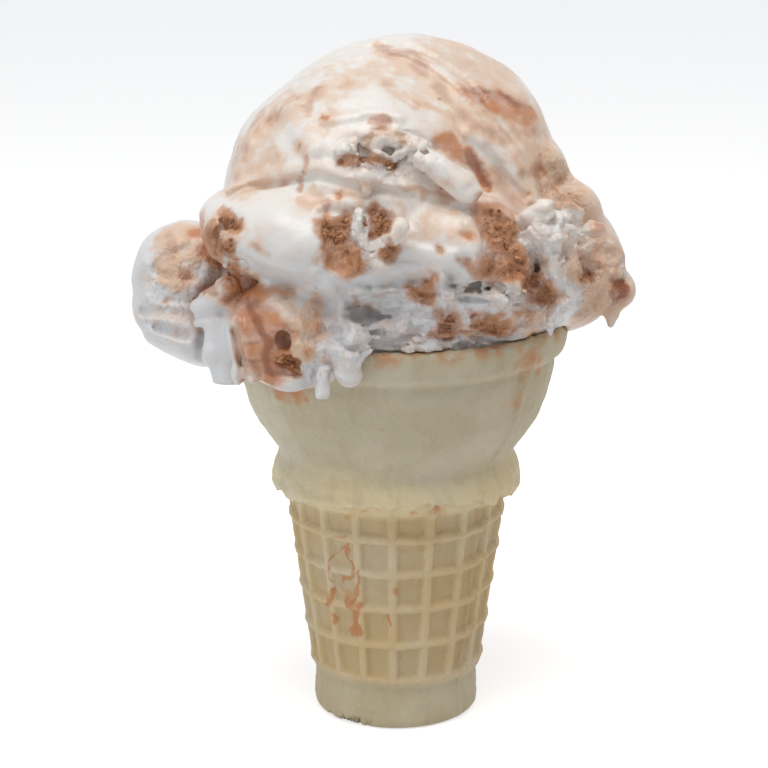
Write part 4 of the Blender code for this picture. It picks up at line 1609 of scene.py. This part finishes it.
@dataclass(frozen=True)
class Studio:
    """Floor, soft lamps, backdrop and camera, in metres."""

    floor_size: float = 6.0
    focal_length: float = 103.1
    camera_place: Point = (-0.0023, -0.3997, 0.1675)
    camera_down: float = 14.6
    floor_lift: float = 0.6

    def build_floor(self) -> None:
        """Lay a wide pale floor under the cone."""
        half = 0.5 * self.floor_size
        mesh = bpy.data.meshes.new("floor")
        corners = [(-half, -half, 0.0), (half, -half, 0.0), (half, half, 0.0), (-half, half, 0.0)]
        mesh.from_pydata(corners, [], [(0, 1, 2, 3)])
        floor = new_piece("floor", mesh)
        material = bpy.data.materials.new("pale_floor")
        material.use_nodes = True
        shader = material.node_tree.nodes["Principled BSDF"]
        shader.inputs["Base Color"].default_value = (0.86, 0.86, 0.86, 1.0)
        shader.inputs["Roughness"].default_value = 0.9
        shader.inputs["Specular IOR Level"].default_value = 0.1
        graph = Graph(material.node_tree)
        rays = graph.node("ShaderNodeLightPath").outputs
        seen = graph.math("MAXIMUM", rays["Is Camera Ray"], rays["Is Glossy Ray"])
        seen = graph.math("MAXIMUM", seen, rays["Is Transmission Ray"])
        lift = graph.math("MULTIPLY", seen, self.floor_lift)
        material.node_tree.links.new(lift, shader.inputs["Emission Strength"])
        shader.inputs["Emission Color"].default_value = (1.0, 1.0, 1.0, 1.0)
        mesh.materials.append(material)

    def add_lamp(self, name: str, place: Point, size: float, power: float, tint: Colour) -> None:
        """Hang a square soft lamp that faces the scoop."""
        light = bpy.data.lights.new(name, "AREA")
        light.size = size
        light.energy = power
        light.color = tint
        lamp = bpy.data.objects.new(name, light)
        lamp.location = place
        aim = Vector((0.0, 0.0, 0.08)) - lamp.location
        lamp.rotation_euler = aim.to_track_quat("-Z", "Y").to_euler()
        bpy.context.collection.objects.link(lamp)

    def build_lights(self) -> None:
        """Add the lamps and the soft light of the room."""
        self.add_lamp("top", (-0.04, -0.18, 0.74), 0.50, 3.1, (1.0, 0.985, 0.96))
        self.add_lamp("window", (-0.58, -0.36, 0.24), 0.5, 0.8, (0.90, 0.95, 1.0))
        self.add_lamp("warm", (0.60, 0.0, 0.34), 0.5, 0.35, (1.0, 0.74, 0.50))
        world = bpy.data.worlds.new("room")
        world.use_nodes = True
        bpy.context.scene.world = world
        tree = world.node_tree
        room = tree.nodes["Background"]
        room.inputs["Color"].default_value = (0.93, 0.96, 1.0, 1.0)
        graph = Graph(tree)
        rays = graph.node("ShaderNodeLightPath").outputs
        seen = graph.math("MAXIMUM", rays["Is Camera Ray"], rays["Is Glossy Ray"])
        seen = graph.math("MAXIMUM", seen, rays["Is Transmission Ray"])
        lift = graph.math("ADD", 0.31, graph.math("MULTIPLY", seen, 0.69))
        tree.links.new(lift, room.inputs["Strength"])

    def build_camera(self) -> None:
        """Place the camera at the front, looking a little down on the cone."""
        data = bpy.data.cameras.new("camera")
        data.sensor_width = 36.0
        data.lens = self.focal_length
        data.clip_start = 0.01
        camera = bpy.data.objects.new("camera", data)
        camera.location = self.camera_place
        camera.rotation_euler = (math.radians(90.0 - self.camera_down), 0.0, 0.0)
        bpy.context.collection.objects.link(camera)
        bpy.context.scene.camera = camera
        bpy.context.scene.view_settings.view_transform = "Standard"


def main() -> None:
    """Build every piece and report it."""
    low, high = (Vector(corner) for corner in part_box("wafer_cone"))
    foot = Vector((0.5 * (low.x + high.x), 0.5 * (low.y + high.y), low.z))
    rim_radius = 0.5 * (high.x - low.x) / MM
    rim_height = (high.z - low.z) / MM
    scoop = Scoop(
        foot=foot,
        voxel=0.3,
        most_triangles=195_000,
        rim_height=rim_height,
        rim_radius=rim_radius,
    )
    piece = scoop.build()
    ice_cream = IceCreamFinish().material()
    piece.data.materials.append(ice_cream)
    crumbs = Scatter(
        mask="crumb",
        density=2.4e6,
        smallest=0.00016,
        largest=0.0005,
        threshold=0.86,
        seed=3,
    )
    biscuit = crumbs.build(piece, BiscuitFinish().material())
    for made in (piece, biscuit):
        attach(made, "root")
    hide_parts("ice_cream")
    wafer = WaferCone(foot, rim_radius=rim_radius, rim_height=rim_height)
    cup = wafer.build(WaferFinish().material())
    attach(cup, "root")
    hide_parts("wafer_cone")
    studio = Studio()
    studio.build_floor()
    studio.build_lights()
    studio.build_camera()


if __name__ == "__main__":
    logging.basicConfig(level=logging.INFO)
    main()
